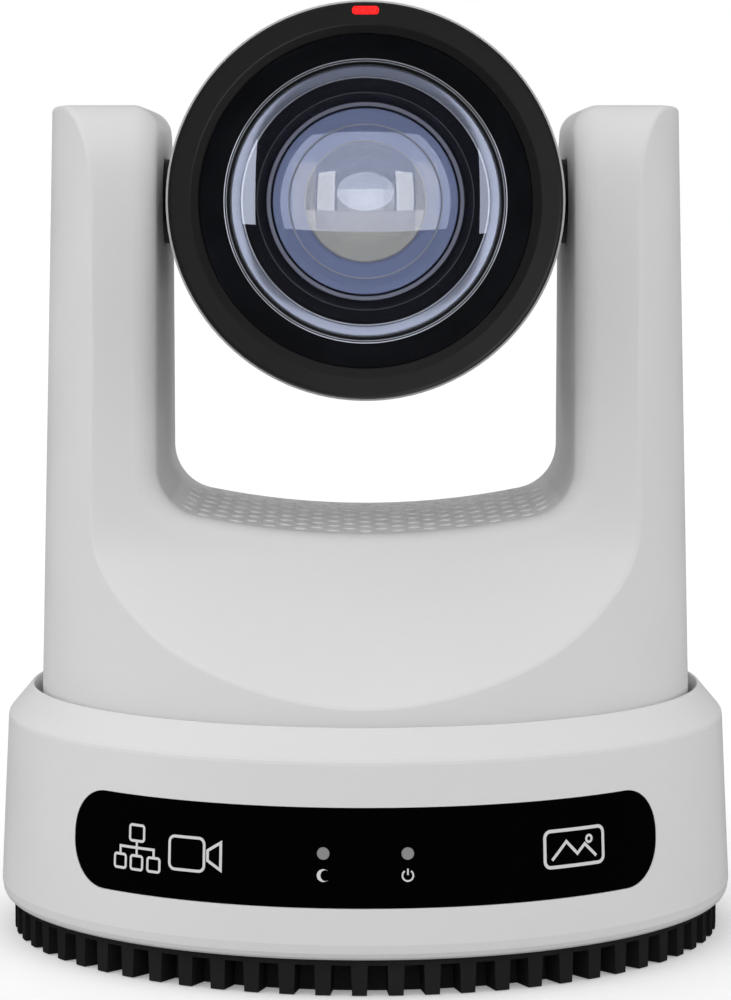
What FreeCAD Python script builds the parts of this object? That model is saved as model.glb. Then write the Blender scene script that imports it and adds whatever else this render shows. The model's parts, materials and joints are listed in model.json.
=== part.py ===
import FreeCAD, Part
import math, os

# Desktop pan-tilt-zoom camera.  Millimetres.  +Z up, the lens looks along -Y,
# +X is to the right of somebody facing the lens.  The origin is the centre of
# the round base on the surface that its rubber feet stand on.

V = FreeCAD.Vector
os.makedirs("parts", exist_ok=True)

# ---------------------------------------------------------------- dimensions
# base
R_BASE_LOW = 72.02       # white base wall, low end
Z_BASE_LOW = 9.8
R_BASE_HIGH = 70.5       # white base wall, high end
Z_BASE_HIGH = 42.1
R_RIM = 65.5             # inner edge of the base rim
Z_RIM = 48.2
WALL_BASE = 2.4
Z_SHELL_BOTTOM = 6.8
N_TEETH = 66             # intake ribs round the foot of the base
R_TEETH = 69.6
R_TEETH_IN = 65.1
TOOTH_W_TOP = 3.07
TOOTH_W_BOTTOM = 2.7
TOOTH_PHASE = -0.9       # degrees, of the rib nearest the front
Z_PLATE = 0.5            # underside of the base plate, above the feet
Z_RIB = 0.15             # lower ends of the intake ribs
Z_POCKET = 5.65          # top of the pockets between the ribs
T_PLATE = 3.0
# smoked front window
WIN_Z0 = 16.4
WIN_Z1 = 34.57
WIN_HALF = 49.2          # degrees
WIN_R = 8.5
LED_A = 6.1              # degrees
LED_Z = 26.3
LED_D = 2.24
# connector bay
BAY_X = 43.0
BAY_Z0 = 12.0
BAY_Z1 = 37.0
BAY_Y = 54.0
# pan drive
SPINDLE_R = 10.0
PAN_M = 0.8
PAN_NG = 80
PAN_NP = 16
# yoke
R_YOKE_44 = 63.88        # yoke cone radius at z 44
R_YOKE_TOP = 61.07       # and at the top of the arms
Z_YOKE_BOTTOM = 44.0
Z_YOKE_TOP = 160.7
WALL_YOKE = 2.2
ARM_X = 39.3             # inner face of each arm
SADDLE_Z = 80.2
SADDLE_R = 155.0
SADDLE_FILLET = 9.5
VENT_PX = 3.07
VENT_PY = 9.6
VENT_W = 2.45
VENT_L = 3.4
# tilt
ZT = 142.5               # height of the tilt axis
TILT_M = 0.5
TILT_NG = 58
TILT_NP = 14
HUB_R = 8.2
# head
RING_Y = -58.0
RING_R = 35.6
HEAD_R = 37.3
# lens
ZOOM_TRAVEL = 14.0
FOCUS_TRAVEL = 4.0
ROD_R = 20.5
# fastening
TRIPOD_R = 2.6           # 1/4-20 UNC, tapping size
TRIPOD_L = 8.0
BRACKET_PCD = 90.0
BRACKET_HOLE_R = 1.65    # M4, tapping size


# ------------------------------------------------------------------- helpers
def box(x0, x1, y0, y1, z0, z1):
    return Part.makeBox(x1 - x0, y1 - y0, z1 - z0, V(x0, y0, z0))


def cylz(r, z0, z1, x=0.0, y=0.0):
    return Part.makeCylinder(r, z1 - z0, V(x, y, z0), V(0, 0, 1))


def cylx(r, x0, x1, y=0.0, z=ZT):
    return Part.makeCylinder(r, x1 - x0, V(x0, y, z), V(1, 0, 0))


def cyly(r, y0, y1, x=0.0, z=ZT):
    return Part.makeCylinder(r, y1 - y0, V(x, y0, z), V(0, 1, 0))


def fuse(*s):
    s = list(s)
    if len(s) == 1:
        return s[0]
    return s[0].multiFuse(s[1:])


def cut(a, *s):
    return a.cut(list(s))


def poly_face(pts):
    return Part.Face(Part.makePolygon(list(pts) + [pts[0]]))


def rev_z(pts, x=0.0, y=0.0):
    """closed (r, z) polygon turned about the vertical through x, y"""
    f = poly_face([V(x + r, y, z) for r, z in pts])
    return f.revolve(V(x, y, 0), V(0, 0, 1), 360)


def rev_y(pts, x=0.0, z=ZT):
    """closed (y, r) polygon turned about the line along Y through x, z"""
    f = poly_face([V(x + r, yy, z) for yy, r in pts])
    return f.revolve(V(x, 0, z), V(0, 1, 0), 360)


def rev_x(pts, y=0.0, z=ZT):
    f = poly_face([V(xx, y + r, z) for xx, r in pts])
    return f.revolve(V(0, y, z), V(1, 0, 0), 360)


def polar(r, deg):
    """a is counted from the front, -Y, towards +X"""
    a = math.radians(deg)
    return r * math.sin(a), -r * math.cos(a)


def turn_z(s, deg, c=V(0, 0, 0)):
    s = s.copy()
    s.rotate(c, V(0, 0, 1), deg)
    return s


def solid(s):
    """one solid, or a compound of solids, out of a boolean result"""
    s = s.removeSplitter()
    ss = s.Solids
    if len(ss) == 1:
        return ss[0]
    return Part.makeCompound(ss)


def group(*s):
    out = []
    for a in s:
        out += a.Solids
    return Part.makeCompound(out)


TOTAL = []


def save(name, s):
    s = solid(s) if not isinstance(s, Part.Solid) else s
    v = sum(a.Volume for a in s.Solids)
    ok = s.isValid() and all(a.isClosed() for a in s.Solids) and v > 0
    s.exportStep("parts/%s.step" % name)
    TOTAL.append(name)
    b = s.BoundBox
    print("%-22s %2d solids %9.1f mm3 %s  x %.1f..%.1f y %.1f..%.1f z %.1f..%.1f" % (
        name, len(s.Solids), v, "ok" if ok else "BAD",
        b.XMin, b.XMax, b.YMin, b.YMax, b.ZMin, b.ZMax))
    return s


def try_fillet(s, r, edges, what):
    """fillet all the edges together, or failing that one after another"""
    if not edges:
        print("no edges for", what)
        return s
    try:
        f = s.makeFillet(r, edges)
        if f.isValid() and f.Volume > 0:
            return f
    except Exception:
        pass
    print("fillet left out:", what)
    return s


def involute_gear(n, m, back, z0, z1, add=0.85, pa=25.0, bore=0.0, steps=4):
    """spur gear about Z at the origin with a tooth centred on +X"""
    rp = n * m / 2.0
    rb = rp * math.cos(math.radians(pa))
    ro = rp + add * m
    rr = rp - 1.15 * m
    inv = lambda a: math.tan(a) - a
    ap = math.radians(pa)
    half = math.pi / (2 * n) - back / (2 * rp)
    pts = []
    r0 = max(rb, rr + 0.05 * m)
    flank = []
    for i in range(steps + 1):
        r = r0 + (ro - r0) * i / steps
        a = math.acos(min(1.0, rb / r))
        flank.append((r, half + inv(ap) - inv(a)))
    for k in range(n):
        c = 2 * math.pi * k / n
        pts.append((rr, c - flank[0][1] - 0.02 * 2 * math.pi / n))
        for r, h in flank:
            pts.append((r, c - h))
        for r, h in reversed(flank):
            pts.append((r, c + h))
        pts.append((rr, c + flank[0][1] + 0.02 * 2 * math.pi / n))
    f = poly_face([V(r * math.cos(a), r * math.sin(a), z0) for r, a in pts])
    g = f.extrude(V(0, 0, z1 - z0))
    if bore:
        g = g.cut(cylz(bore, z0 - 1, z1 + 1))
    return g


# ===================================================================== BASE
# --- outer white shell: a shallow cone with a chamfered shoulder
t = WALL_BASE
shell_outline = [
    (70.3, Z_SHELL_BOTTOM), (70.9, 6.93), (71.4, 7.35), (71.8, 8.2), (R_BASE_LOW, Z_BASE_LOW),
    (R_BASE_HIGH, Z_BASE_HIGH), (70.38, 42.65), (70.05, 43.2),
    (R_RIM + 0.45, Z_RIM - 0.12), (R_RIM + 0.1, Z_RIM), (R_RIM, Z_RIM - 0.25),
    (R_RIM, 40.6), (67.4, 40.6), (67.4, 42.5), (R_BASE_HIGH - t, 41.4), (R_BASE_LOW - t + 0.1, Z_BASE_LOW), (R_BASE_LOW - t + 0.1, Z_SHELL_BOTTOM)]
housing = rev_z(shell_outline)
solid_out = rev_z([(0, Z_SHELL_BOTTOM), (70.3, Z_SHELL_BOTTOM), (70.9, 6.93), (71.4, 7.35), (71.8, 8.2), (R_BASE_LOW, Z_BASE_LOW),
                   (R_BASE_HIGH, Z_BASE_HIGH), (70.38, 42.65), (70.05, 43.2), (R_RIM + 0.45, Z_RIM - 0.12), (R_RIM, Z_RIM), (0, Z_RIM)])


def window_prism(gap, r_in, r_out):
    """rounded rectangle wrapped on the wall: middle sector and two rounded ends"""
    a_end = WIN_HALF - math.degrees(WIN_R / 71.5)
    sec = poly_face([V(r_in, 0, WIN_Z0 - gap), V(r_out, 0, WIN_Z0 - gap), V(r_out, 0, WIN_Z1 + gap), V(r_in, 0, WIN_Z1 + gap)])
    sec = sec.revolve(V(0, 0, 0), V(0, 0, 1), 2 * a_end)
    sec = turn_z(sec, -90 - a_end)
    parts = [sec]
    for s in (-1, 1):
        w = WIN_R + gap
        zc0, zc1 = WIN_Z0 + WIN_R, WIN_Z1 - WIN_R
        # outline in the plane normal to the radius, then pushed out radially
        b = [Part.LineSegment(V(-w, -r_in, zc0), V(-w, -r_in, zc1)).toShape(),
             Part.Arc(V(-w, -r_in, zc1), V(0, -r_in, zc1 + w), V(w, -r_in, zc1)).toShape(),
             Part.LineSegment(V(w, -r_in, zc1), V(w, -r_in, zc0)).toShape(),
             Part.Arc(V(w, -r_in, zc0), V(0, -r_in, zc0 - w), V(-w, -r_in, zc0)).toShape()]
        f = Part.Face(Part.Wire(b))
        p = f.extrude(V(0, -(r_out - r_in), 0))
        parts.append(turn_z(p, s * a_end))
    return fuse(*parts)


win_cut = window_prism(0.0, 66.0, 76.0)
win_body = window_prism(-0.1, 66.0, 76.0)

# connector bay: a flat-backed pocket in the rear wall, with its own frame
bay_frame = box(-BAY_X - 2.2, BAY_X + 2.2, BAY_Y, 75, BAY_Z0 - 2.2, BAY_Z1 + 2.2).common(solid_out)
bay_hole = box(-BAY_X, BAY_X, BAY_Y, 76, BAY_Z0, BAY_Z1)
# screw bosses, each tied to the wall by a rib
bosses = []
boss_at = [polar(58, -45), polar(58, 45), polar(58, 110), polar(58, -110)]
for (bx, by), a in zip(boss_at, (-45, 45, 110, -110)):
    b = cylz(3.6, Z_PLATE + T_PLATE, 22, bx, by)
    rib = box(-1, 1, -70.6, -59.0, 8.4, 22)
    rib = turn_z(rib, a).common(rev_z([(0, 4), (R_BASE_LOW - 1.2, 4), (R_BASE_LOW - 1.2, 8), (R_BASE_HIGH - 0.9, 42), (0, 42)]))
    bosses += [b, rib]
housing = fuse(housing, bay_frame, *bosses)
housing = cut(housing, win_cut, bay_hole, *[cylz(1.5, 0, 16, x, y) for x, y in boss_at])
# window rebate: the wall carries the window on a thin ledge behind it
housing = save("base_housing", solid(housing))

# --- smoked window, flush with the wall
wall_surface = rev_z([(69.1, 10), (R_BASE_LOW - (10 - Z_BASE_LOW) * (R_BASE_LOW - R_BASE_HIGH) / (Z_BASE_HIGH - Z_BASE_LOW) - 0.05, 10),
                      (R_BASE_LOW - (40 - Z_BASE_LOW) * (R_BASE_LOW - R_BASE_HIGH) / (Z_BASE_HIGH - Z_BASE_LOW) - 0.05, 40), (69.1, 40)])
window = wall_surface.common(win_body)
led_holes = []
led_pipes = []
for s in (-1, 1):
    c = Part.makeCylinder(LED_D / 2, 14, V(0, -78, LED_Z), V(0, 1, 0))
    led_holes.append(turn_z(Part.makeCylinder(LED_D / 2 + 0.05, 14, V(0, -78, LED_Z), V(0, 1, 0)), s * LED_A))
    p = Part.makeCylinder(LED_D / 2, 7.7, V(0, -71.2, LED_Z), V(0, 1, 0))
    led_pipes.append(turn_z(p, s * LED_A))
window = save("front_window", cut(window, *led_holes))
save("status_light_pipes", group(*led_pipes))

# --- base plate with the ribbed skirt that lets cooling air in
zp0, zp1 = Z_PLATE, Z_PLATE + T_PLATE
plate = rev_z([(0, zp0), (62.9, zp0), (62.9, Z_RIB), (R_TEETH_IN, Z_RIB), (R_TEETH_IN, Z_POCKET), (R_TEETH, Z_POCKET), (R_TEETH, 8.0), (62.9, 8.0), (62.9, zp1), (0, zp1)])
ribs = []
tooth = Part.Face(Part.makePolygon([V(-TOOTH_W_BOTTOM / 2, -64.5, Z_RIB), V(TOOTH_W_BOTTOM / 2, -64.5, Z_RIB),
                                    V(TOOTH_W_TOP / 2, -64.5, Z_POCKET + 0.2), V(-TOOTH_W_TOP / 2, -64.5, Z_POCKET + 0.2),
                                    V(-TOOTH_W_BOTTOM / 2, -64.5, Z_RIB)])).extrude(V(0, -7, 0))
# soft outer corners on the ribs
tooth = tooth.common(cylz(R_TEETH, 0, 9))
for k in range(N_TEETH):
    ribs.append(turn_z(tooth, TOOTH_PHASE + k * 360.0 / N_TEETH))
plate = fuse(plate, *ribs)
plate = fuse(plate, cylz(6.3, zp1 - 0.1, 9.5))
foot_at = [polar(54, a) for a in (0, 90, 180, 270)]
brk_at = [(BRACKET_PCD / 2 * math.cos(math.radians(a)), BRACKET_PCD / 2 * math.sin(math.radians(a))) for a in (45, 135, 225, 315)]
spin_screw_at = [(15.5 * math.cos(math.radians(a)), 15.5 * math.sin(math.radians(a))) for a in (45, 135, 225, 315)]
board_post_at = [(-38, 23), (38, 23), (-22, 49), (21.1, 48)]
cuts = [cylz(5.0, 0, 9.6)]
for x, y in foot_at:
    cuts.append(cylz(6.05, 0, 1.5, x, y))
for x, y in boss_at:
    cuts += [cylz(1.6, 0, 6, x, y), cylz(2.95, 0, 2.0, x, y)]
for x, y in brk_at:
    plate = fuse(plate, cylz(4.6, zp1 - 0.1, 8.0, x, y))
    cuts.append(cylz(3.0, 0, 9, x, y))
for x, y in spin_screw_at:
    cuts.append(cylz(1.25, 1.6, 4, x, y))
for x, y in board_post_at:
    plate = fuse(plate, cylz(2.6, zp1 - 0.1, 10.0, x, y))
    cuts.append(cylz(1.2, 4.5, 11, x, y))
# long slots under the boards
for x in (-24, -16, -8, 8, 16, 24):
    sl = fuse(box(x - 1.2, x + 1.2, 24, 40, 0, 4), cylz(1.2, 0, 4, x, 24), cylz(1.2, 0, 4, x, 40))
    cuts.append(sl)
plate = cut(plate, *cuts)
save("base_plate", plate)

# --- brass inserts
tri = cut(rev_z([(0, zp0), (5.0, zp0), (5.0, 9.5), (0, 9.5)]), cylz(TRIPOD_R, 0, zp0 + TRIPOD_L))
save("threaded_inserts", group(tri, *[cut(cylz(3.0, zp0, 8.0, x, y), cylz(BRACKET_HOLE_R, 0, 7.0, x, y)) for x, y in brk_at]))

# --- rubber feet
feet = []
for x, y in foot_at:
    feet.append(rev_z([(0, 0), (5.3, 0), (5.8, 0.4), (6.0, 1.5), (0, 1.5)], x, y))
save("rubber_feet", group(*feet))


def screw(x, y, z_head, z_face, z_tip, r_head, r_shaft, r_drive=1.0):
    """pan-head screw, driven from z_head towards z_tip, cross recess as a square socket"""
    s = 1 if z_tip > z_head else -1
    zz = sorted([z_head, z_face])
    hd = cylz(r_head, zz[0], zz[1], x, y)
    zz = sorted([z_face, z_tip])
    sh = cylz(r_shaft, zz[0], zz[1], x, y)
    d = 0.9 * s
    z0, z1 = sorted([z_head, z_head + d])
    rec = fuse(box(x - r_drive, x + r_drive, y - 0.25, y + 0.25, z0, z1), box(x - 0.25, x + 0.25, y - r_drive, y + r_drive, z0, z1))
    return cut(fuse(hd, sh), rec)


base_fast = [screw(x, y, 0.55, 2.0, 14, 2.75, 1.45, 1.6) for x, y in boss_at]
base_fast += [screw(x, y, 7.7, 6.1, 2.0, 2.1, 1.2, 1.3) for x, y in spin_screw_at]

# --- centre spindle that the turntable turns on, hollow for the wiring
spin = rev_z([(6.5, zp1), (18.5, zp1), (18.5, 5.8), (18.2, 6.1), (12.6, 6.1), (11.5, 7.2), (11.5, 38.2), (SPINDLE_R, 38.2), (SPINDLE_R, 49.4), (6.5, 49.4)])
spin = cut(spin, box(-3, 3, 5, 14, 12, 24), *[cylz(1.3, 3, 8, x, y) for x, y in spin_screw_at])
save("pan_spindle", spin)
save("spindle_nut", cut(rev_z([(SPINDLE_R, 46.0), (12.4, 46.0), (12.4, 48.7), (12.0, 49.1), (SPINDLE_R, 49.1)]),
                        *[turn_z(box(11.2, 13, -1.2, 1.2, 47.2, 50), a) for a in (0, 90, 180, 270)]))

# --- pan motor, on its bracket in front of the spindle
PAN_C = (PAN_NG + PAN_NP) * PAN_M / 2.0
brk = fuse(box(-22, 22, -PAN_C - 12, -PAN_C + 10, 33, 35), cylz(3.0, zp1, 33.1, -18.5, -PAN_C), cylz(3.0, zp1, 33.1, 18.5, -PAN_C),
           cylz(5.0, zp1, 5.0, -18.5, -PAN_C), cylz(5.0, zp1, 5.0, 18.5, -PAN_C))
brk = cut(brk, cylz(4.1, 30, 36, 0, -PAN_C), cylz(1.0, 30, 36, 9.5, -PAN_C), cylz(1.0, 30, 36, -9.5, -PAN_C))
save("pan_motor_bracket", brk)
mot = fuse(cylz(14, 17.6, 32.4, 0, -PAN_C), rev_z([(0, 32.4), (13.4, 32.4), (13.4, 33.0), (4.0, 33.0), (4.0, 34.4), (0, 34.4)], 0, -PAN_C),
           cylz(12.6, 17.0, 17.6, 0, -PAN_C), box(-6, 6, -PAN_C - 16.5, -PAN_C - 12, 20, 28))
mot = cut(mot, cylz(1.55, 24.5, 36, 0, -PAN_C), rev_z([(13.7, 24.6), (15, 24.6), (15, 25.4), (13.7, 25.4)], 0, -PAN_C))
save("pan_motor", mot)

# --- main board on four posts, with the sockets along its rear edge
zb0, zb1 = 10.0, 11.6
board = box(-43, 43, 18.5, 52.3, zb0, zb1)
board = cut(board, *[cylz(1.25, 9, 13, x, y) for x, y in board_post_at])
chips = [box(-14, 2, 24, 36, zb1, zb1 + 1.2), box(8, 16, 22, 32, zb1, zb1 + 1.0), box(-34, -26, 26, 34, zb1, zb1 + 1.6),
         cylz(3.2, zb1, zb1 + 8, 24, 26), cylz(3.2, zb1, zb1 + 8, 32, 30)]
save("main_board", fuse(board, *chips))
base_fast += [screw(x, y, zb1 + 1.4, zb1, 5.0, 2.2, 1.15, 1.2) for x, y in board_post_at]

YF = BAY_Y                      # rear face of the connector plate
panel = box(-44.6, 44.6, YF - 1.4, YF, BAY_Z0 - 0.9, BAY_Z1 + 1.8)
# the plate's ends follow the inside of the wall
panel = panel.common(rev_z([(0, 8.0), (R_BASE_LOW - t - 0.1, 8.0), (R_BASE_LOW - t - 0.1, Z_BASE_LOW), (R_BASE_HIGH - t - 0.1, 41.4), (0, 41.4)]))
panel = cut(panel,
            box(-41.8, -33.2, YF - 3, YF + 1, 12.3, 22.4),          # power
            cyly(4.95, YF - 3, YF + 1, -26, 20),                    # video coax
            box(-19.1, -2.9, YF - 3, YF + 1, 11.95, 25.3),           # network
            box(8.0 - 5, 23.0 - 5, YF - 3, YF + 1, 12.3, 18.3),     # digital video
            cyly(3.1, YF - 3, YF + 1, 27.2, 16), cyly(3.1, YF - 3, YF + 1, 27.2, 24),
            cyly(4.9, YF - 3, YF + 1, 37, 18.2), cyly(4.9, YF - 3, YF + 1, 37, 30.2),
            cyly(1.6, YF - 3, YF + 1, -40, 31), cyly(1.6, YF - 3, YF + 1, 10, 33))
save("rear_panel", panel)


def jack_body(x0, x1, z0, z1, y0):
    return box(x0, x1, y0, YF - 1.45, z0, z1)


# power inlet, 5.5 mm barrel with a centre pin
pj = fuse(jack_body(-42.3, -32.7, zb1, 22.8, 42), box(-41.7, -33.3, YF - 1.5, YF + 0.4, 12.4, 22.3))
pj = fuse(cut(pj, cyly(2.95, YF - 9.5, YF + 2, -37.5, 17.4)), cyly(1.0, YF - 9.6, YF - 0.6, -37.5, 17.4))
save("power_inlet", pj)
# coax video socket
bn = fuse(rev_y([(YF - 9, 0.0), (YF - 9, 4.5), (YF - 1.45, 4.5), (YF - 1.45, 6.4), (YF - 1.4, 6.4), (YF - 1.4, 4.85), (YF + 0.02, 4.85), (YF + 0.02, 6.4), (YF + 1.6, 6.4),
                 (YF + 1.6, 4.75), (YF + 10.5, 4.75), (YF + 10.5, 4.1), (YF + 2.0, 4.1), (YF + 2.0, 0.0)], -26, 20),
          cyly(1.9, YF + 1.9, YF + 8, -26, 20),
          box(-26 - 5.9, -26 + 5.9, YF + 6.0, YF + 8.0, 19.1, 20.9).cut(cyly(4.4, YF, YF + 12, -26, 20)))
bn = cut(bn, cyly(0.7, YF + 3, YF + 9, -26, 20))
save("video_coax_socket", bn)
# network socket
ln = fuse(jack_body(-19, -3, zb1, 25.2, 38), box(-19, -3, YF - 1.5, YF + 0.5, 12.0, 25.2))
ln = cut(ln, box(-16.9, -5.1, YF - 12, YF + 1, 14.0, 21.6), box(-14.1, -7.9, YF - 11, YF + 1, 21.5, 23.2))
ln = cut(ln, *[box(-15.2 + i * 1.27, -14.7 + i * 1.27, YF - 11, YF - 3, 13.2, 14.1) for i in range(8)])
save("network_socket", ln)
# digital video socket
hd = fuse(jack_body(2.9, 18.1, zb1, 18.4, 42), box(3.1, 17.9, YF - 1.5, YF + 0.4, 12.35, 18.2))
trap = Part.Face(Part.makePolygon([V(3.6, YF - 9, 17.6), V(17.4, YF - 9, 17.6), V(17.4, YF - 9, 14.8), V(15.8, YF - 9, 13.0),
                                   V(5.2, YF - 9, 13.0), V(3.6, YF - 9, 14.8), V(3.6, YF - 9, 17.6)])).extrude(V(0, 12, 0))
hd = fuse(cut(hd, trap), box(5.2, 15.8, YF - 9.1, YF - 1.2, 15.1, 16.1))
save("digital_video_socket", hd)
# audio sockets, one above the other
au = fuse(jack_body(24, 30.5, zb1, 28, 42), cyly(3.0, YF - 1.5, YF + 0.8, 27.2, 16), cyly(3.0, YF - 1.5, YF + 0.8, 27.2, 24))
au = cut(au, cyly(1.8, YF - 11, YF + 2, 27.2, 16), cyly(1.8, YF - 11, YF + 2, 27.2, 24))
save("audio_sockets", au)
# control sockets, one above the other
se = fuse(jack_body(31, 42.9, zb1, 36.4, 42), cyly(4.8, YF - 1.5, YF + 0.4, 37, 18.2), cyly(4.8, YF - 1.5, YF + 0.4, 37, 30.2))
for zc in (18.2, 30.2):
    ring = cyly(4.3, YF - 6.0, YF + 1, 37, zc).cut(cyly(3.6, YF - 7, YF - 1.0, 37, zc))
    pins = [cyly(0.4, YF - 6, YF, 37 + px, zc + pz) for px, pz in ((-2, 1), (0, 1.2), (2, 1), (-2.4, -0.6), (-0.8, -0.9), (0.8, -0.9), (2.4, -0.6))]
    se = cut(se, ring, *pins)
save("control_sockets", se)
# panel screws
ps = []
for x, z in ((-40, 31), (10, 33)):
    b = fuse(cyly(1.5, YF - 5.5, YF + 0.05, x, z), cyly(2.9, YF + 0.0, YF + 1.4, x, z))
    b = cut(b, box(x - 1.6, x + 1.6, YF + 0.5, YF + 2, z - 0.25, z + 0.25), box(x - 0.25, x + 0.25, YF + 0.5, YF + 2, z - 1.6, z + 1.6))
    ps.append(b)
base_fast += ps
save("base_fasteners", group(*base_fast))
# status board with the remote-control receiver behind the window
sb = fuse(box(-17, 17, -61.6, -60.0, 13, 33), box(-8.5, -6.7, -63.0, -61.5, 25.4, 27.2), box(6.7, 8.5, -63.0, -61.5, 25.4, 27.2),
          box(-14, -10, -61.6 + 1.5, -58.9, 15, 19))
sb = fuse(sb, box(-10, 10, -60.1, -57.0, 3.5, 5.5), box(-10, 10, -60.1, -58.6, 3.5, 13.2))
ir = fuse(box(-3.4, 3.4, -64.6, -61.6, 17, 24), Part.makeSphere(2.6, V(0, -64.6, 20.6)).common(box(-4, 4, -67.5, -64.5, 16, 25)))
save("status_board", fuse(sb, ir))

# ============================================================ PAN PINION
pg = involute_gear(PAN_NP, PAN_M, 0.16, 38.2, 42.6)
pg = turn_z(pg, 90 + 180.0 / PAN_NP)          # a gap faces the big gear
pg.translate(V(0, -PAN_C, 0))
pg = fuse(pg, cylz(4.2, 36.4, 38.3, 0, -PAN_C), cylz(1.5, 26, 38.3, 0, -PAN_C))
save("pan_pinion", pg)

# ==================================================================== YOKE
tt = rev_z([(13, 48), (19, 48), (19, 46), (61.2, 46), (61.2, 43), (19, 43), (19, 38), (16, 38), (16, 45.6), (13, 45.6)])
holes = [turn_z(fuse(box(-4, 4, 38, 50, 40, 50), cylz(4, 40, 50, 0, 38), cylz(4, 40, 50, 0, 50)), a) for a in (0, 55, 125, 180, 235, 305)]
tt = cut(tt, *holes)
# four cast pillars for the drive board
tt = fuse(tt, *[rev_z([(0, 45), (3.2, 45), (2.5, 50), (2.5, 60), (0, 60)], x, y) for x in (-26, 26) for y in (-23, 23)])
save("turntable", tt)
brg = rev_z([(SPINDLE_R + 0.05, 38.6), (12.2, 38.6), (12.2, 39.1), (13.8, 39.1), (13.8, 38.6), (15.98, 38.6),
             (15.98, 45.6), (13.8, 45.6), (13.8, 45.1), (12.2, 45.1), (12.2, 45.6), (SPINDLE_R + 0.05, 45.6)])
save("pan_bearing", brg)
big = involute_gear(PAN_NG, PAN_M, 0.16, 38.0, 43.0, bore=19.0)
big = turn_z(big, -90)                          # a tooth faces the pinion
big = cut(big, *[cylz(1.25, 36, 44, 24 * math.cos(math.radians(a)), 24 * math.sin(math.radians(a))) for a in (45, 135, 225, 315)])
save("pan_gear", big)
gs = []
for a in (45, 135, 225, 315):
    x, y = 24 * math.cos(math.radians(a)), 24 * math.sin(math.radians(a))
    gs.append(screw(x, y, 36.6, 38.0, 43.0, 2.2, 1.2, 1.2))


# --- outer form of the yoke: a slim cone, cut by front and rear faces that
# sweep down into the round foot, with the U gap for the head
face_prof = [(-21.0, 160.7), (-25.6, 159.4), (-30.1, 155.6), (-32.6, 150.8), (-33.5, 145.5), (-34.1, 135.7), (-34.8, 121.0), (-35.4, 106.0),
             (-35.75, 91.4), (-36.1, 83.4), (-37.3, 77.8), (-40.2, 73.2), (-44.0, 69.0), (-48.0, 64.9), (-52.2, 61.0), (-56.2, 57.7),
             (-60.0, 54.7), (-63.8, 51.2), (-66.4, 48.2)]


def face_prism(off, zb):
    """prism along X between the front and the rear face, moved inward by off"""
    pts = [V(0, y, z) for y, z in face_prof]
    if off:
        q = []
        for i, p in enumerate(pts):
            a = pts[max(0, i - 1)]
            b = pts[min(len(pts) - 1, i + 1)]
            d = (b - a)
            d.normalize()
            n = V(0, -d.z, d.y)      # inward: +Y and, at the top, downwards
            if i == 0:
                n = V(0, 0, -1)
            q.append(p + n * off)
        pts = q
    c = Part.BSplineCurve()
    c.interpolate(pts)
    e1 = c.toShape()
    mp = [V(0, -p.y, p.z) for p in reversed(pts)]
    c2 = Part.BSplineCurve()
    c2.interpolate(mp)
    e2 = c2.toShape()
    last = pts[-1]
    l1 = Part.LineSegment(last, V(0, last.y, zb)).toShape()
    l2 = Part.LineSegment(V(0, last.y, zb), V(0, -last.y, zb)).toShape()
    l3 = Part.LineSegment(V(0, -last.y, zb), V(0, -last.y, last.z)).toShape()
    l4 = Part.LineSegment(mp[-1], pts[0]).toShape()
    w = Part.Wire([e1, l1, l2, l3, e2, l4])
    f = Part.Face(w)
    s = f.extrude(V(160, 0, 0))
    s.translate(V(-80, 0, 0))
    return s


def gap_prism(off):
    """the U gap: straight arms, shallow saddle, rounded at foot and mouth"""
    X = ARM_X + off
    R = SADDLE_R + off
    zc = SADDLE_Z + SADDLE_R
    rf = SADDLE_FILLET + off
    # fillet circle tangent to the wall x = X and outside the saddle arc
    # its centre is at x = X - rf and at a distance R - rf from the arc's centre
    cx = X - rf
    cz = zc - math.sqrt((R - rf) ** 2 - cx ** 2)
    ang = math.atan2(-(zc - cz), cx)       # direction from arc centre to fillet centre
    tx, tz = R * math.cos(ang), zc + R * math.sin(ang)
    mid = (math.radians(0) + (ang)) / 2.0
    m1 = V(cx + rf * math.cos(mid), 0, cz + rf * math.sin(mid))
    rt = 4.9
    zt = Z_YOKE_TOP
    top_arc = off < 0.01
    e = []
    if top_arc:
        e.append(Part.Arc(V(X + rt, 0, zt), V(X + rt - rt * math.sin(math.radians(45)), 0, zt - rt + rt * math.cos(math.radians(45))), V(X, 0, zt - rt)).toShape())
        e.append(Part.LineSegment(V(X, 0, zt - rt), V(X, 0, cz)).toShape())
        up = X + rt
    else:
        e.append(Part.LineSegment(V(X, 0, zt), V(X, 0, cz)).toShape())
        up = X
    e.append(Part.Arc(V(X, 0, cz), m1, V(tx, 0, tz)).toShape())
    e.append(Part.Arc(V(tx, 0, tz), V(0, 0, zc - R), V(-tx, 0, tz)).toShape())
    e.append(Part.Arc(V(-tx, 0, tz), V(-m1.x, 0, m1.z), V(-X, 0, cz)).toShape())
    if top_arc:
        e.append(Part.LineSegment(V(-X, 0, cz), V(-X, 0, zt - rt)).toShape())
        e.append(Part.Arc(V(-X, 0, zt - rt), V(-(X + rt - rt * math.sin(math.radians(45))), 0, zt - rt + rt * math.cos(math.radians(45))), V(-X - rt, 0, zt)).toShape())
    else:
        e.append(Part.LineSegment(V(-X, 0, cz), V(-X, 0, zt)).toShape())
    e.append(Part.LineSegment(V(-up, 0, zt), V(-up, 0, zt + 10)).toShape())
    e.append(Part.LineSegment(V(-up, 0, zt + 10), V(up, 0, zt + 10)).toShape())
    e.append(Part.LineSegment(V(up, 0, zt + 10), V(up, 0, zt)).toShape())
    f = Part.Face(Part.Wire(e))
    s = f.extrude(V(0, 200, 0))
    s.translate(V(0, -100, 0))
    return s


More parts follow.
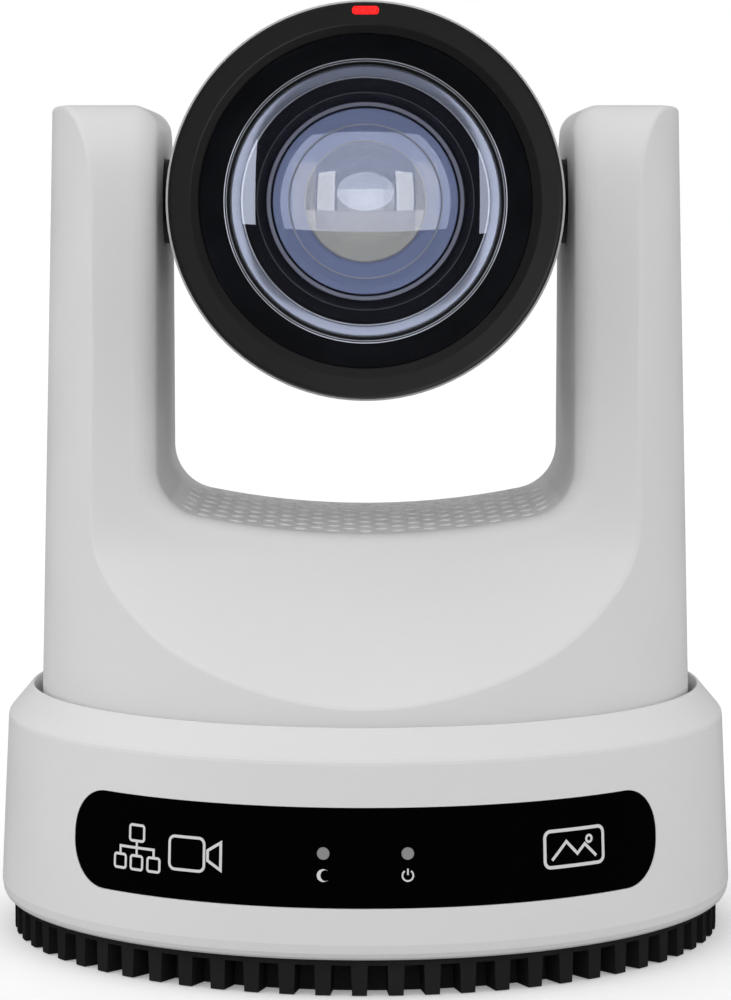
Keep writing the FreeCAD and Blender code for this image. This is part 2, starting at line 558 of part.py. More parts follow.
def cone_body(off, z0, z1):
    k = (R_YOKE_44 - R_YOKE_TOP) / (Z_YOKE_TOP - Z_YOKE_BOTTOM)
    r0 = R_YOKE_44 - k * (z0 - Z_YOKE_BOTTOM) - off
    r1 = R_YOKE_44 - k * (z1 - Z_YOKE_BOTTOM) - off
    return Part.makeCone(r0, r1, z1 - z0, V(0, 0, z0), V(0, 0, 1))


outer = cone_body(0, Z_YOKE_BOTTOM, Z_YOKE_TOP).common(face_prism(0, Z_YOKE_BOTTOM - 1))
# round the outer top edges and the crease first, then cut the gap
outer = outer.cut(gap_prism(0)).removeSplitter()
outer = outer.Solids[0] if len(outer.Solids) == 1 else outer


def near_gap_edge(e):
    """edge between the U gap and the front or rear face"""
    b = e.BoundBox
    m = e.valueAt((e.FirstParameter + e.LastParameter) / 2.0)
    if abs(m.y) < 19 or b.YMin < 0 < b.YMax:
        return False
    if abs(m.x) > ARM_X + 4.6:
        return False
    if abs(m.x) > ARM_X - 0.05 and m.z < SADDLE_Z:
        return False
    # on the gap's surface
    if abs(abs(m.x) - ARM_X) < 0.02 and m.z < Z_YOKE_TOP - 4.8:
        return True
    if abs(m.x) < ARM_X and m.z < 95 and m.z > 79.5 and abs(m.y) < 40:
        return True
    return False


es = [e for e in outer.Edges if near_gap_edge(e)]
print("gap edges", len(es), [round(e.Length, 1) for e in es])
done = False
for r in (4.0, 3.5, 3.0, 2.5):
    try:
        f = outer.makeFillet(r, es)
        if f.isValid() and f.Volume > 0.9 * outer.Volume:
            outer = f
            print("gap fillet", r)
            done = True
            break
    except Exception as ex:
        pass
print("gap fillet done", done)


def top_edge(e):
    m = e.valueAt((e.FirstParameter + e.LastParameter) / 2.0)
    r = math.hypot(m.x, m.y)
    return abs(m.z - Z_YOKE_TOP) < 0.02 and r > R_YOKE_TOP - 0.2


es = [e for e in outer.Edges if top_edge(e)]
print("top edges", len(es))
for r in (1.0, 0.6):
    try:
        f = outer.makeFillet(r, es)
        if f.isValid() and f.Volume > 0.9 * outer.Volume:
            outer = f
            print("top fillet", r)
            break
    except Exception as ex:
        pass

def crease_edge(e):
    b = e.BoundBox
    m = e.valueAt((e.FirstParameter + e.LastParameter) / 2.0)
    r = math.hypot(m.x, m.y)
    rc = R_YOKE_44 - (R_YOKE_44 - R_YOKE_TOP) / (Z_YOKE_TOP - Z_YOKE_BOTTOM) * (m.z - Z_YOKE_BOTTOM)
    return abs(r - rc) < 0.08 and m.z > 47 and b.ZLength > 2 and abs(m.y) > 1


es = [e for e in outer.Edges if crease_edge(e)]
print("crease edges", len(es), [round(e.Length, 1) for e in es])
for r in (1.2, 0.9, 0.6):
    try:
        f = outer.makeFillet(r, es)
        if f.isValid() and f.Volume > 0.9 * outer.Volume:
            outer = f
            print("crease fillet", r)
            break
    except Exception as ex:
        pass


cav = cone_body(WALL_YOKE, Z_YOKE_BOTTOM - 2, Z_YOKE_TOP - WALL_YOKE).common(face_prism(WALL_YOKE, Z_YOKE_BOTTOM - 3)).cut(gap_prism(WALL_YOKE))
cav = cav.removeSplitter()
shell = outer.cut(cav)
shell = shell.cut([cylx(HUB_R + 0.35, -ARM_X - 4, ARM_X + 4)])
# saddle panel with its staggered air slots, let into the shell
zone = box(-36.8, 36.8, -31.9, 31.9, 60, 100)
saddle = shell.common(zone)
covers = shell.cut(zone)
slots = []
for c in range(-11, 12):
    x = c * VENT_PX
    rows = [i * VENT_PY for i in range(-3, 4)] if c % 2 == 0 else [(i + 0.5) * VENT_PY for i in range(-3, 3)]
    for y in rows:
        r = VENT_W / 2
        l = VENT_L / 2 - r
        if abs(y) + VENT_L / 2 > 31.5:
            continue
        b = [Part.LineSegment(V(x - r, y - l, 70), V(x - r, y + l, 70)).toShape(),
             Part.Arc(V(x - r, y + l, 70), V(x, y + l + r, 70), V(x + r, y + l, 70)).toShape(),
             Part.LineSegment(V(x + r, y + l, 70), V(x + r, y - l, 70)).toShape(),
             Part.Arc(V(x + r, y - l, 70), V(x, y - l - r, 70), V(x - r, y - l, 70)).toShape()]
        slots.append(Part.Face(Part.Wire(b)).extrude(V(0, 0, 25)))
saddle = saddle.cut(Part.makeCompound(slots))
save("saddle_grille", saddle)
front = covers.common(box(-90, 90, -90, 0, 30, 180))
rear = covers.common(box(-90, 90, 0, 90, 30, 180))
save("yoke_front_cover", front)
save("yoke_rear_cover", rear)

# --- steel arm brackets standing on the turntable
arm_br = []
for side in (-1, 1):
    x0, x1 = sorted((side * 41.9, side * 43.9))
    f0, f1 = sorted((side * 41.9, side * 56.0))
    h0, h1 = sorted((side * 43.8, side * 46.4))
    b = fuse(box(x0, x1, -17, 17, 46, 156), box(f0, f1, -17, 17, 46, 48), cylx(10.6, h0, h1))
    b = cut(b, cylx(8.0, -60, 60))
    b = cut(b, *[cylx(1.3, -60, 60, yy, zz) for yy, zz in ((12, 112), (-12, 112), (12, 130), (-12, 130))])
    b = cut(b, fuse(box(-60, 60, -8, 8, 62, 98), cylx(8, -60, 60, 0, 62), cylx(8, -60, 60, 0, 98)))
    b = cut(b, *[cylz(1.3, 40, 50, side * 51, yy) for yy in (-12, 12)])
    arm_br.append(b)
save("arm_brackets", group(*arm_br))
bs = []
for side in (-1, 1):
    for yy in (-12, 12):
        bs.append(screw(side * 51, yy, 49.6, 48.0, 46.02, 2.4, 1.25, 1.3))
save("yoke_fasteners", group(*(bs + gs)))
br = []
for side in (-1, 1):
    pts = [(42.3, 4.05), (42.3, 5.3), (42.7, 5.3), (42.7, 6.7), (42.3, 6.7), (42.3, 7.98), (46.3, 7.98), (46.3, 6.7), (45.9, 6.7), (45.9, 5.3), (46.3, 5.3), (46.3, 4.05)]
    br.append(rev_x([(side * a, b) for a, b in pts]))
save("tilt_bearings", group(*br))

# --- tilt motor on a plate held off the left bracket by four posts
TILT_C = (TILT_NG + TILT_NP) * TILT_M / 2.0
ZP = ZT - TILT_C
mp = box(-51.4, -50.4, -14, 14, 109, 133)
mp = fuse(mp, *[cylx(2.0, -50.5, -43.9, yy, zz) for yy, zz in ((12, 112), (-12, 112), (12, 130), (-12, 130))])
mp = cut(mp, cylx(3.1, -60, -40, 0, ZP))
mp = cut(mp, cylx(15.6, -50.3, -46.0))
save("tilt_motor_plate", mp)
tm = fuse(cylx(9.8, -58.0, -51.4, 0, ZP), cylx(3.0, -51.5, -50.2, 0, ZP), box(-57.5, -52.5, -5, 5, ZP - 13, ZP - 8))
tm = cut(tm, cylx(1.05, -57, -49, 0, ZP))
save("tilt_motor", tm)

# --- motor drive board under the saddle, on pillars from the turntable
db = box(-30, 30, -27, 27, 60, 61.6)
db = cut(db, cylz(9, 59, 63))
db = fuse(db, box(-24, -12, -20, -10, 61.5, 63.0), box(12, 22, -22, -12, 61.5, 63.2), box(-20, 0 - 8, 14, 22, 61.5, 68), box(10, 24, 15, 21, 61.5, 68))
save("drive_board", db)

# ============================================================ TILT PINION
tg = involute_gear(TILT_NP, TILT_M, 0.12, 46.9, 49.6)


def z_to_negx(s, roll, zc):
    """turn a solid made about Z so that its axis lies along -X, then lift it"""
    s = s.copy()
    s.rotate(V(0, 0, 0), V(0, 0, 1), roll)
    s.rotate(V(0, 0, 0), V(0, 1, 0), -90)       # +Z goes to -X, +X goes to +Z
    s.translate(V(0, 0, zc))
    return s


tg = z_to_negx(tg, 180.0 / TILT_NP, ZP)         # a gap points up at the gear
tg = fuse(tg, cylx(1.0, -56, -46.95, 0, ZP))
save("tilt_pinion", tg)

# ==================================================================== HEAD
bigt = involute_gear(TILT_NG, TILT_M, 0.12, 46.9, 49.6, bore=4.0)
bigt = z_to_negx(bigt, 180, ZT)                 # a tooth points down at the pinion
bigt = cut(bigt, *[cylx(2.2, -52, -45, 9 * math.cos(math.radians(a)), ZT + 9 * math.sin(math.radians(a))) for a in range(0, 360, 60)])
save("tilt_gear", bigt)
trn = []
for side in (-1, 1):
    x_end = 50.4 if side < 0 else 47.0
    pts = [(29.9, 0.0), (29.9, 7.5), (31.9, 7.5), (31.9, 9.4), (33.3, 9.4), (33.3, HUB_R), (41.1, HUB_R), (41.5, HUB_R - 0.4), (41.5, 4.0), (x_end - 0.4, 4.0), (x_end, 3.6), (x_end, 0.0)]
    trn.append(rev_x([(side * a, b) for a, b in pts]))
save("tilt_trunnions", group(*trn))

# --- head shells
HEAD_PROF = [(-53.6, 36.15), (-45, 36.45), (-30, 36.95), (-12, 37.3), (6, 37.15), (20, 35.9), (31, 33.0), (39.5, 28.0), (45, 20.5), (47.6, 10.5), (48.3, 0.0)]


def head_solid(off, y_front):
    pts = []
    n = len(HEAD_PROF)
    for i, (y, r) in enumerate(HEAD_PROF):
        a = HEAD_PROF[max(0, i - 1)]
        b = HEAD_PROF[min(n - 1, i + 1)]
        dy, dr = b[0] - a[0], b[1] - a[1]
        L = math.hypot(dy, dr)
        ny, nr = -dr / L, dy / L
        if i == n - 1:
            ny, nr = 1.0, 0.0
        pts.append((y - ny * off, max(0.0, r - nr * off)))
    vs = [V(r, y, ZT) for y, r in pts]
    c = Part.BSplineCurve()
    c.interpolate(vs)
    e1 = c.toShape()
    a = vs[-1]
    b = V(0, y_front, ZT)
    d = V(vs[0].x, y_front, ZT)
    es = [e1, Part.LineSegment(a, b).toShape(), Part.LineSegment(b, d).toShape()]
    if abs(vs[0].y - y_front) > 1e-6:
        es.append(Part.LineSegment(d, vs[0]).toShape())
    w = Part.Wire(es)
    return Part.Face(w).revolve(V(0, 0, ZT), V(0, 1, 0), 360)


ho = head_solid(0.0, -53.6)
hi = head_solid(2.0, -60.0)
hs_ = ho.cut(hi)
hs_ = hs_.cut([cylx(HUB_R + 0.1, -45, 45)])
# front edge broken by a small bevel
hs_ = hs_.cut([rev_y([(-54, 35.75), (-53.1, 36.6), (-54.5, 37.0)])])
lo_zone = box(-60, 60, -80, 80, ZT - 60, ZT)
hi_zone = box(-60, 60, -80, 80, ZT, ZT + 60)
hb = hs_.common(lo_zone)
ht = hs_.common(hi_zone)
inner_limit = head_solid(1.0, -54.5)
HS_AT = [(-31.0, -28.0), (31.0, -28.0), (-25.5, 27.0), (25.5, 27.0)]
scr = []
for x, y in HS_AT:
    zl = ZT - (13.0 if y < 0 else 17.0)
    bo = cylz(3.0, zl - 25, ZT, x, y).common(inner_limit)
    hb = fuse(hb, bo)
    bt = cylz(3.0, ZT, ZT + 30.0, x, y).common(inner_limit)
    ht = fuse(ht, bt)
for x, y in HS_AT:
    zl = ZT - (10.0 if y < 0 else 14.0)
    hb = cut(hb, cylz(2.45, zl - 25, zl, x, y), cylz(1.25, zl - 2, ZT + 1, x, y))
    ht = cut(ht, cylz(1.2, ZT - 1, ZT + 7.0, x, y))
    scr.append(screw(x, y, zl - 1.9, zl, ZT + 6.0, 2.3, 1.15, 1.3))
# exhaust slots at the back of the lower shell
vs_ = []
for i in range(-4, 5):
    vs_.append(box(i * 3.6 - 0.75, i * 3.6 + 0.75, 25, 60, ZT - 22, ZT - 12))
hb = cut(hb, *vs_)
hb = save("head_lower_shell", hb)
ht = save("head_upper_shell", ht)
save("head_screws", group(*scr))

# --- black front ring and the funnel inside it
fr = rev_y([(RING_Y + 0.45, RING_R - 0.1), (RING_Y + 0.12, RING_R - 0.35), (RING_Y, RING_R - 0.75), (RING_Y, 31.75), (RING_Y + 0.12, 31.5), (RING_Y + 0.95, 30.35), (RING_Y + 1.2, 30.1), (RING_Y + 2.4, 30.1),
            (RING_Y + 2.4, 31.0), (-54.0, 31.0), (-50.0, 31.0), (-50.0, 33.6), (-53.65, 33.6), (-53.65, RING_R), (RING_Y + 0.9, RING_R)])
TAL_Z = ZT + 34.1


def tally_prism(y0, y1, g):
    w, h, r = 2.4 + g, 0.725 + g, 0.65
    e = []
    P = lambda x, z: V(x, y0, TAL_Z + z)
    c = math.sqrt(0.5)
    e.append(Part.LineSegment(P(-w + r, h), P(w - r, h)).toShape())
    e.append(Part.Arc(P(w - r, h), P(w - r + r * c, h - r + r * c), P(w, h - r)).toShape())
    if h - r > 1e-6:
        e.append(Part.LineSegment(P(w, h - r), P(w, -h + r)).toShape())
    e.append(Part.Arc(P(w, -h + r), P(w - r + r * c, -h + r - r * c), P(w - r, -h)).toShape())
    e.append(Part.LineSegment(P(w - r, -h), P(-w + r, -h)).toShape())
    e.append(Part.Arc(P(-w + r, -h), P(-w + r - r * c, -h + r - r * c), P(-w, -h + r)).toShape())
    e.append(Part.LineSegment(P(-w, -h + r), P(-w, h - r)).toShape())
    e.append(Part.Arc(P(-w, h - r), P(-w + r - r * c, h - r + r * c), P(-w + r, h)).toShape())
    return Part.Face(Part.Wire(e)).extrude(V(0, y1 - y0, 0))


fr = cut(fr, tally_prism(RING_Y - 1, RING_Y + 3.0, 0.04))
save("front_ring", fr)
save("tally_light", tally_prism(RING_Y - 0.05, RING_Y + 3.0, 0.0))
# matt funnel, nested in the ring's bore
fun = [(RING_Y + 1.32, 30.04), (RING_Y + 1.3, 29.9), (-46.6, 26.05), (-46.6, 30.95), (RING_Y + 2.45, 30.95), (RING_Y + 2.45, 30.04)]
save("lens_hood", rev_y(fun))

# --- lens barrel: stepped tube with a rear wall
bar = rev_y([(-46.55, 25.6), (-46.55, 28.0), (-44.0, 28.0), (-44.0, 27.0), (14, 27.0), (14, 13.5), (16.0, 13.5), (16.0, 10.5), (26.3, 10.5), (26.3, 8.6), (16.0, 8.0), (12, 8.0), (12, 24.0), (-36.0, 24.0), (-36.0, 25.3), (-45.6, 25.3)])
bar = cut(bar, *[cyly(1.0, 11, 13, x, ZT + z) for x, z in ((ROD_R, 0), (-ROD_R, 0))])
bar = cut(bar, cyly(1.45, 11, 15, 0, ZT + ROD_R), cyly(1.45, 11, 15, 0, ZT - ROD_R))
save("lens_barrel", bar)
# front element: meniscus with a strong outer curve
def lens(y_edge0, y_edge1, r, sag0, sag1, r0=None):
    """round lens about the optical axis; sag is positive when the face bulges forward (-Y)"""
    def arc(y, s, rr):
        if abs(s) < 1e-6:
            return None
        return Part.Arc(V(0, y - s, ZT), V(rr * math.sin(0.5) / math.sin(1.0) * 0 + rr * 0.5, y - s + s * 0.25 * (1.0 + 0.0), ZT), V(rr, y, ZT))
    e = []
    # exact circle through centre and edge
    def face_arc(y, s, rr, flip):
        R = (rr * rr + s * s) / (2 * abs(s))
        th = math.asin(rr / R) / 2
        ym = (y - s) + math.copysign(R * (1 - math.cos(th)), s)
        xm = R * math.sin(th)
        return Part.Arc(V(0, y - s, ZT), V(xm, ym, ZT), V(rr, y, ZT)).toShape()
    a = V(0, y_edge0 - sag0, ZT)
    b = V(r, y_edge0, ZT)
    c = V(r, y_edge1, ZT)
    d = V(0, y_edge1 - sag1, ZT)
    e.append(face_arc(y_edge0, sag0, r, 1) if abs(sag0) > 1e-6 else Part.LineSegment(a, b).toShape())
    e.append(Part.LineSegment(b, c).toShape())
    e.append(face_arc(y_edge1, sag1, r, 1) if abs(sag1) > 1e-6 else Part.LineSegment(c, d).toShape())
    e.append(Part.LineSegment(d, a).toShape())
    w = Part.Wire(Part.__sortEdges__(e))
    return Part.Face(w).revolve(V(0, 0, ZT), V(0, 1, 0), 360)


save("front_element", lens(-43.6, -40.4, 25.2, 4.4, 1.6))
save("front_retainer", rev_y([(-45.6, 24.98), (-45.6, 25.25), (-43.8, 25.25), (-43.8, 24.8), (-44.6, 24.8)]))
# dark baffle behind the front element, and the second fixed group
save("lens_baffle", rev_y([(-40.35, 22.0), (-40.35, 25.25), (-36.1, 25.25), (-36.1, 23.9), (-29.0, 23.9), (-29.0, 18.3), (-33.0, 18.3), (-33.2, 19.0), (-38.6, 19.9)]))
save("second_element", lens(-34.0, -30.2, 18.25, 2.6, 0.0).cut(rev_y([(-60, 18.0), (-60, 30), (-20, 30), (-20, 18.28)])))

# --- moving groups: each a cell that slides on the two rods
rods = group(cyly(1.0, -28.9, 13.0, ROD_R), cyly(1.0, -28.9, 13.0, -ROD_R))
save("guide_rods", rods)
ZG0, ZG1 = -26.0, -18.0
zc = rev_y([(ZG0, 14.05), (ZG0, 17.0), (ZG1, 17.0), (ZG1, 12.0), (ZG1 - 1.5, 12.0), (ZG1 - 1.5, 14.05)])
for s in (-1, 1):
    zc = fuse(zc, box(min(s * 16.5, s * 20.5), max(s * 16.5, s * 20.5), ZG0 + 1, ZG1 - 1, ZT - 2.2, ZT + 2.2), cyly(2.2, ZG0 + 1, ZG1 - 1, s * ROD_R))
zc = fuse(zc, box(-2.4, 2.4, ZG0 + 1, ZG1 - 1, ZT + 16, ZT + ROD_R), cyly(2.4, ZG0 + 1, ZG1 - 1, 0, ZT + ROD_R))
zc = cut(zc, cyly(1.06, -40, 20, ROD_R), cyly(1.06, -40, 20, -ROD_R), cyly(1.3, -40, 20, 0, ZT + ROD_R))
save("zoom_cell", zc)
save("zoom_lens", lens(ZG0 + 0.6, ZG1 - 1.95, 14.0, -1.4, -1.0))
FG0, FG1 = 3.0, 7.0
fc = rev_y([(FG0, 10.05), (FG0, 17.0), (FG1, 17.0), (FG1, 9.0), (FG1 - 0.8, 9.0), (FG1 - 0.8, 10.05)])
for s in (-1, 1):
    fc = fuse(fc, box(min(s * 16.5, s * 20.5), max(s * 16.5, s * 20.5), FG0 + 0.4, FG1 - 0.4, ZT - 2.2, ZT + 2.2), cyly(2.2, FG0 + 0.4, FG1 - 0.4, s * ROD_R))
fc = fuse(fc, box(-2.4, 2.4, FG0 + 0.4, FG1 - 0.4, ZT - ROD_R, ZT - 16), cyly(2.4, FG0 + 0.4, FG1 - 0.4, 0, ZT - ROD_R))
fc = cut(fc, cyly(1.06, -40, 20, ROD_R), cyly(1.06, -40, 20, -ROD_R), cyly(1.3, -40, 20, 0, ZT - ROD_R))
save("focus_cell", fc)
save("focus_lens", lens(FG0 + 0.5, FG1 - 1.05, 10.0, 0.9, -0.6))


def lead_screw(y0, y1, z):
    pts = [(y0, 0.0), (y0, 1.2)]
    y = y0 + 0.6
    while y < y1 - 0.8:
        pts += [(y, 1.2), (y + 0.25, 0.95), (y + 0.5, 1.2)]
        y += 1.0
    pts += [(y1, 1.2), (y1, 0.0)]
    return rev_y(pts, 0.0, z)


save("zoom_screw", fuse(lead_screw(-27.4, 13.0, ZT + ROD_R), cyly(0.8, 12.9, 22.0, 0, ZT + ROD_R)))
save("focus_screw", fuse(lead_screw(2.2, 13.0, ZT - ROD_R), cyly(0.8, 12.9, 20.0, 0, ZT - ROD_R)))
zm = cut(fuse(cyly(4.6, 14.0, 25.0, 0, ZT + ROD_R), box(-3, 3, 16, 23, ZT + ROD_R - 6, ZT + ROD_R - 3)), cyly(0.85, 10, 23, 0, ZT + ROD_R))
fm = cut(fuse(cyly(4.6, 14.0, 23.0, 0, ZT - ROD_R), box(-3, 3, 16, 22, ZT - ROD_R + 3, ZT - ROD_R + 6)), cyly(0.85, 10, 21, 0, ZT - ROD_R))
save("lens_motors", group(zm, fm))
iris = rev_y([(-2.0, 7.0), (-2.0, 23.95), (1.4, 23.95), (1.4, 7.0), (0.2, 7.0), (0.2, 6.4), (-0.8, 6.4), (-0.8, 7.0)])
iris = cut(iris, cyly(1.05, -5, 5, ROD_R), cyly(1.05, -5, 5, -ROD_R), cyly(1.6, -5, 5, 0, ZT + ROD_R))
save("iris_unit", iris)
# sensor holder, image sensor and its board
sn = box(-6.5, 6.5, 26.4, 28.0, ZT - 5, ZT + 5)
save("image_sensor", sn)
sbd = fuse(box(-14, 14, 28.0, 29.6, ZT - 13, ZT + 13), box(-6, 6, 29.5, 31.0, ZT - 11, ZT - 7))
save("sensor_board", sbd)
vb = fuse(box(-19, 19, 34.0, 35.6, ZT - 15, ZT + 15), box(-8, 8, 35.5, 37.0, ZT - 8, ZT + 8), box(-15, -10, 31.5, 34.1, ZT - 12, ZT + 4),
          *[cyly(1.5, 29.6, 34.1, x, ZT + z) for x, z in ((-12, 11), (12, 11), (-12, -11), (12, -11))])
save("video_board", vb)

# --- chassis that ties barrel, shafts and shells together
ch = rev_y([(-11, 27.02), (-11, 28.9), (11, 28.9), (11, 27.02)])
for side in (-1, 1):
    x0, x1 = sorted((side * 28.2, side * 29.85))
    ch = fuse(ch, box(x0, x1, -11, 11, ZT - 9.5, ZT + 9.5).cut(cyly(27.02, -20, 20)))
save("head_chassis", ch)

print(len(TOTAL), "nodes")
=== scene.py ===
import bpy, bmesh, math, json
from mathutils import Vector, Matrix

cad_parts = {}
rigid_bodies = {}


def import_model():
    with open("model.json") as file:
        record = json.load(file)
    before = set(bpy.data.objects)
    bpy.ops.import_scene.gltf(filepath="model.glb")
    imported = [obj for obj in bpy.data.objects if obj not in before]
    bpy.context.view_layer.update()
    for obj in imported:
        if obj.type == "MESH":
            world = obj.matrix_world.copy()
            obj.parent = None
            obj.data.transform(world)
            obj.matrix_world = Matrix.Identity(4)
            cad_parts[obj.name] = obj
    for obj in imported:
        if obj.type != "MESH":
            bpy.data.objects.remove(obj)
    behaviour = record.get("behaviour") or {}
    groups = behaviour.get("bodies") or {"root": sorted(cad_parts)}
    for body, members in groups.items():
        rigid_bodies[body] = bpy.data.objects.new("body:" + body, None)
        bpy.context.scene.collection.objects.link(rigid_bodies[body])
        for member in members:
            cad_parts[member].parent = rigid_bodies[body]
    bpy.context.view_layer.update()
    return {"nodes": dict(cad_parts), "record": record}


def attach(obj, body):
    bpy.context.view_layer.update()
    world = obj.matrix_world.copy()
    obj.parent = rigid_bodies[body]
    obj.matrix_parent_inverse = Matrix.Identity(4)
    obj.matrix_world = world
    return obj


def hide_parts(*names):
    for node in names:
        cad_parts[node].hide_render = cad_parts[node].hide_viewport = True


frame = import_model()
MM = 0.001
ZT = 142.5                      # tilt axis height, mm

# ------------------------------------------------------------------ camera
scene = bpy.context.scene
cam_data = bpy.data.cameras.new("cam")
cam = bpy.data.objects.new("cam", cam_data)
scene.collection.objects.link(cam)
cam.location = (0.0, -0.6839, 0.14277)
cam.rotation_euler = (math.radians(90 - 4.94), 0, 0)
cam_data.sensor_width = 36.0
cam_data.lens = 124.96
cam_data.clip_start = 0.01
cam_data.clip_end = 50
scene.camera = cam
scene.view_settings.view_transform = "Standard"
scene.view_settings.look = "None"
scene.cycles.max_bounces = 14
scene.cycles.transmission_bounces = 12
scene.cycles.transparent_max_bounces = 12

# --------------------------------------------------------------- materials
def new_mat(name):
    m = bpy.data.materials.new(name)
    m.use_nodes = True
    nt = m.node_tree
    for n in list(nt.nodes):
        nt.nodes.remove(n)
    out = nt.nodes.new("ShaderNodeOutputMaterial")
    p = nt.nodes.new("ShaderNodeBsdfPrincipled")
    nt.links.new(p.outputs[0], out.inputs[0])
    return m, nt, p


def coords(nt, scale=(1, 1, 1), rot=(0, 0, 0)):
    tc = nt.nodes.new("ShaderNodeTexCoord")
    mp = nt.nodes.new("ShaderNodeMapping")
    mp.inputs["Scale"].default_value = scale
    mp.inputs["Rotation"].default_value = rot
    nt.links.new(tc.outputs["Object"], mp.inputs["Vector"])
    return mp.outputs["Vector"]


def noise(nt, vec, scale, detail=3.0, rough=0.5, dist=0.0):
    n = nt.nodes.new("ShaderNodeTexNoise")
    n.inputs["Scale"].default_value = scale
    n.inputs["Detail"].default_value = detail
    n.inputs["Roughness"].default_value = rough
    n.inputs["Distortion"].default_value = dist
    nt.links.new(vec, n.inputs["Vector"])
    return n.outputs["Fac"]


def ramp(nt, fac, stops, interp="LINEAR"):
    r = nt.nodes.new("ShaderNodeValToRGB")
    cr = r.color_ramp
    cr.interpolation = interp
    while len(cr.elements) < len(stops):
        cr.elements.new(0.5)
    for e, (pos, col) in zip(cr.elements, stops):
        e.position = pos
        e.color = (*col, 1) if len(col) == 3 else col
    nt.links.new(fac, r.inputs["Fac"])
    return r.outputs["Color"]


def remap(nt, fac, lo, hi, a=0.3, b=0.7):
    r = nt.nodes.new("ShaderNodeMapRange")
    r.inputs["From Min"].default_value = a
    r.inputs["From Max"].default_value = b
    r.inputs["To Min"].default_value = lo
    r.inputs["To Max"].default_value = hi
    nt.links.new(fac, r.inputs["Value"])
    return r.outputs["Result"]


def bump(nt, height, strength, dist, normal=None):
    b = nt.nodes.new("ShaderNodeBump")
    b.inputs["Strength"].default_value = strength
    b.inputs["Distance"].default_value = dist
    nt.links.new(height, b.inputs["Height"])
    if normal is not None:
        nt.links.new(normal, b.inputs["Normal"])
    return b.outputs["Normal"]


def plastic(name, col, var=0.02, rough=(0.36, 0.46), grain=2600, grain_s=0.10, spec=0.5, sss=0.0, coat=0.0, wave=0.0):
    """moulded plastic: fine spark-eroded grain, slow colour drift, uneven gloss"""
    m, nt, p = new_mat(name)
    v = coords(nt)
    slow = noise(nt, v, 14, 4, 0.55)
    fine = noise(nt, v, 420, 4, 0.6)
    a = [max(0, c * (1 - var)) for c in col]
    b = [min(1, c * (1 + var)) for c in col]
    mix = nt.nodes.new("ShaderNodeMix")
    mix.data_type = "RGBA"
    mix.blend_type = "MULTIPLY"
    mix.inputs["Factor"].default_value = 1.0
    nt.links.new(ramp(nt, slow, [(0.3, a), (0.7, b)]), mix.inputs[6])
    g = 1 - var * 0.6
    nt.links.new(ramp(nt, fine, [(0.35, (g, g, g)), (0.65, (1, 1, 1))]), mix.inputs[7])
    nt.links.new(mix.outputs[2], p.inputs["Base Color"])
    blotch = noise(nt, v, 55, 3, 0.5)
    nt.links.new(remap(nt, blotch, rough[0], rough[1]), p.inputs["Roughness"])
    g1 = noise(nt, v, grain, 2, 0.6)
    n1 = bump(nt, g1, grain_s, 0.00006)
    if wave:
        n1 = bump(nt, noise(nt, v, 60, 1, 0.4), wave, 0.0003, n1)
    nt.links.new(n1, p.inputs["Normal"])
    p.inputs["Specular IOR Level"].default_value = spec
    if coat:
        p.inputs["Coat Weight"].default_value = coat
        p.inputs["Coat Roughness"].default_value = 0.12
    if sss:
        p.inputs["Subsurface Weight"].default_value = sss
        p.inputs["Subsurface Radius"].default_value = (0.002, 0.002, 0.002)
        p.inputs["Subsurface Scale"].default_value = 0.4
    return m


def metal(name, col, rough=(0.25, 0.4), brush=None, grain=900, grain_s=0.08, var=0.06):
    m, nt, p = new_mat(name)
    v = coords(nt, scale=brush or (1, 1, 1))
    n = noise(nt, v, grain, 3, 0.6)
    w = coords(nt)
    slow = noise(nt, w, 40, 3, 0.5)
    a = [max(0, c * (1 - var)) for c in col]
    b = [min(1, c * (1 + var)) for c in col]
    nt.links.new(ramp(nt, slow, [(0.3, a), (0.7, b)]), p.inputs["Base Color"])
    nt.links.new(remap(nt, n, rough[0], rough[1]), p.inputs["Roughness"])
    nt.links.new(bump(nt, n, grain_s, 0.00004), p.inputs["Normal"])
    p.inputs["Metallic"].default_value = 1.0
    return m


WHITE = plastic("white_shell_plastic", (0.78, 0.78, 0.78), 0.012, (0.40, 0.50), 2400, 0.16, 0.42, sss=0.0)
BLACK_GLOSS = plastic("smoked_window", (0.0011, 0.0011, 0.0012), 0.15, (0.05, 0.11), 900, 0.004, 0.06)
BLACK_SATIN = plastic("satin_black", (0.0135, 0.0135, 0.0138), 0.08, (0.42, 0.52), 3000, 0.18, 0.5)
BLACK_MATTE = plastic("matt_black", (0.0027, 0.0027, 0.0031), 0.10, (0.62, 0.78), 2600, 0.2, 0.22)
FOOT_BLACK = plastic("ribbed_foot_black", (0.017, 0.017, 0.0175), 0.12, (0.5, 0.66), 1800, 0.35, 0.42)
PIPE = plastic("light_pipe", (0.31, 0.31, 0.312), 0.05, (0.25, 0.4), 2200, 0.12, 0.5)
RUBBER = plastic("foot_rubber", (0.02, 0.02, 0.02), 0.15, (0.75, 0.9), 1500, 0.4, 0.3)
SOCKET_BLACK = plastic("socket_black", (0.012, 0.012, 0.013), 0.1, (0.35, 0.5), 2000, 0.12, 0.5)
ACETAL = plastic("acetal", (0.70, 0.68, 0.60), 0.03, (0.35, 0.5), 1200, 0.08, 0.5)
STEEL = metal("zinc_steel", (0.60, 0.60, 0.62), (0.25, 0.42), (1, 1, 14), 1100, 0.06)
STEEL_BLACK = metal("blackened_steel", (0.045, 0.045, 0.048), (0.34, 0.5), (14, 1, 1), 800, 0.07)
NICKEL = metal("nickel", (0.66, 0.64, 0.60), (0.14, 0.26), None, 700, 0.03)
BRASS = metal("brass", (0.70, 0.52, 0.24), (0.22, 0.36), None, 900, 0.05)
ALLOY = metal("cast_alloy", (0.52, 0.53, 0.55), (0.42, 0.58), None, 500, 0.3)
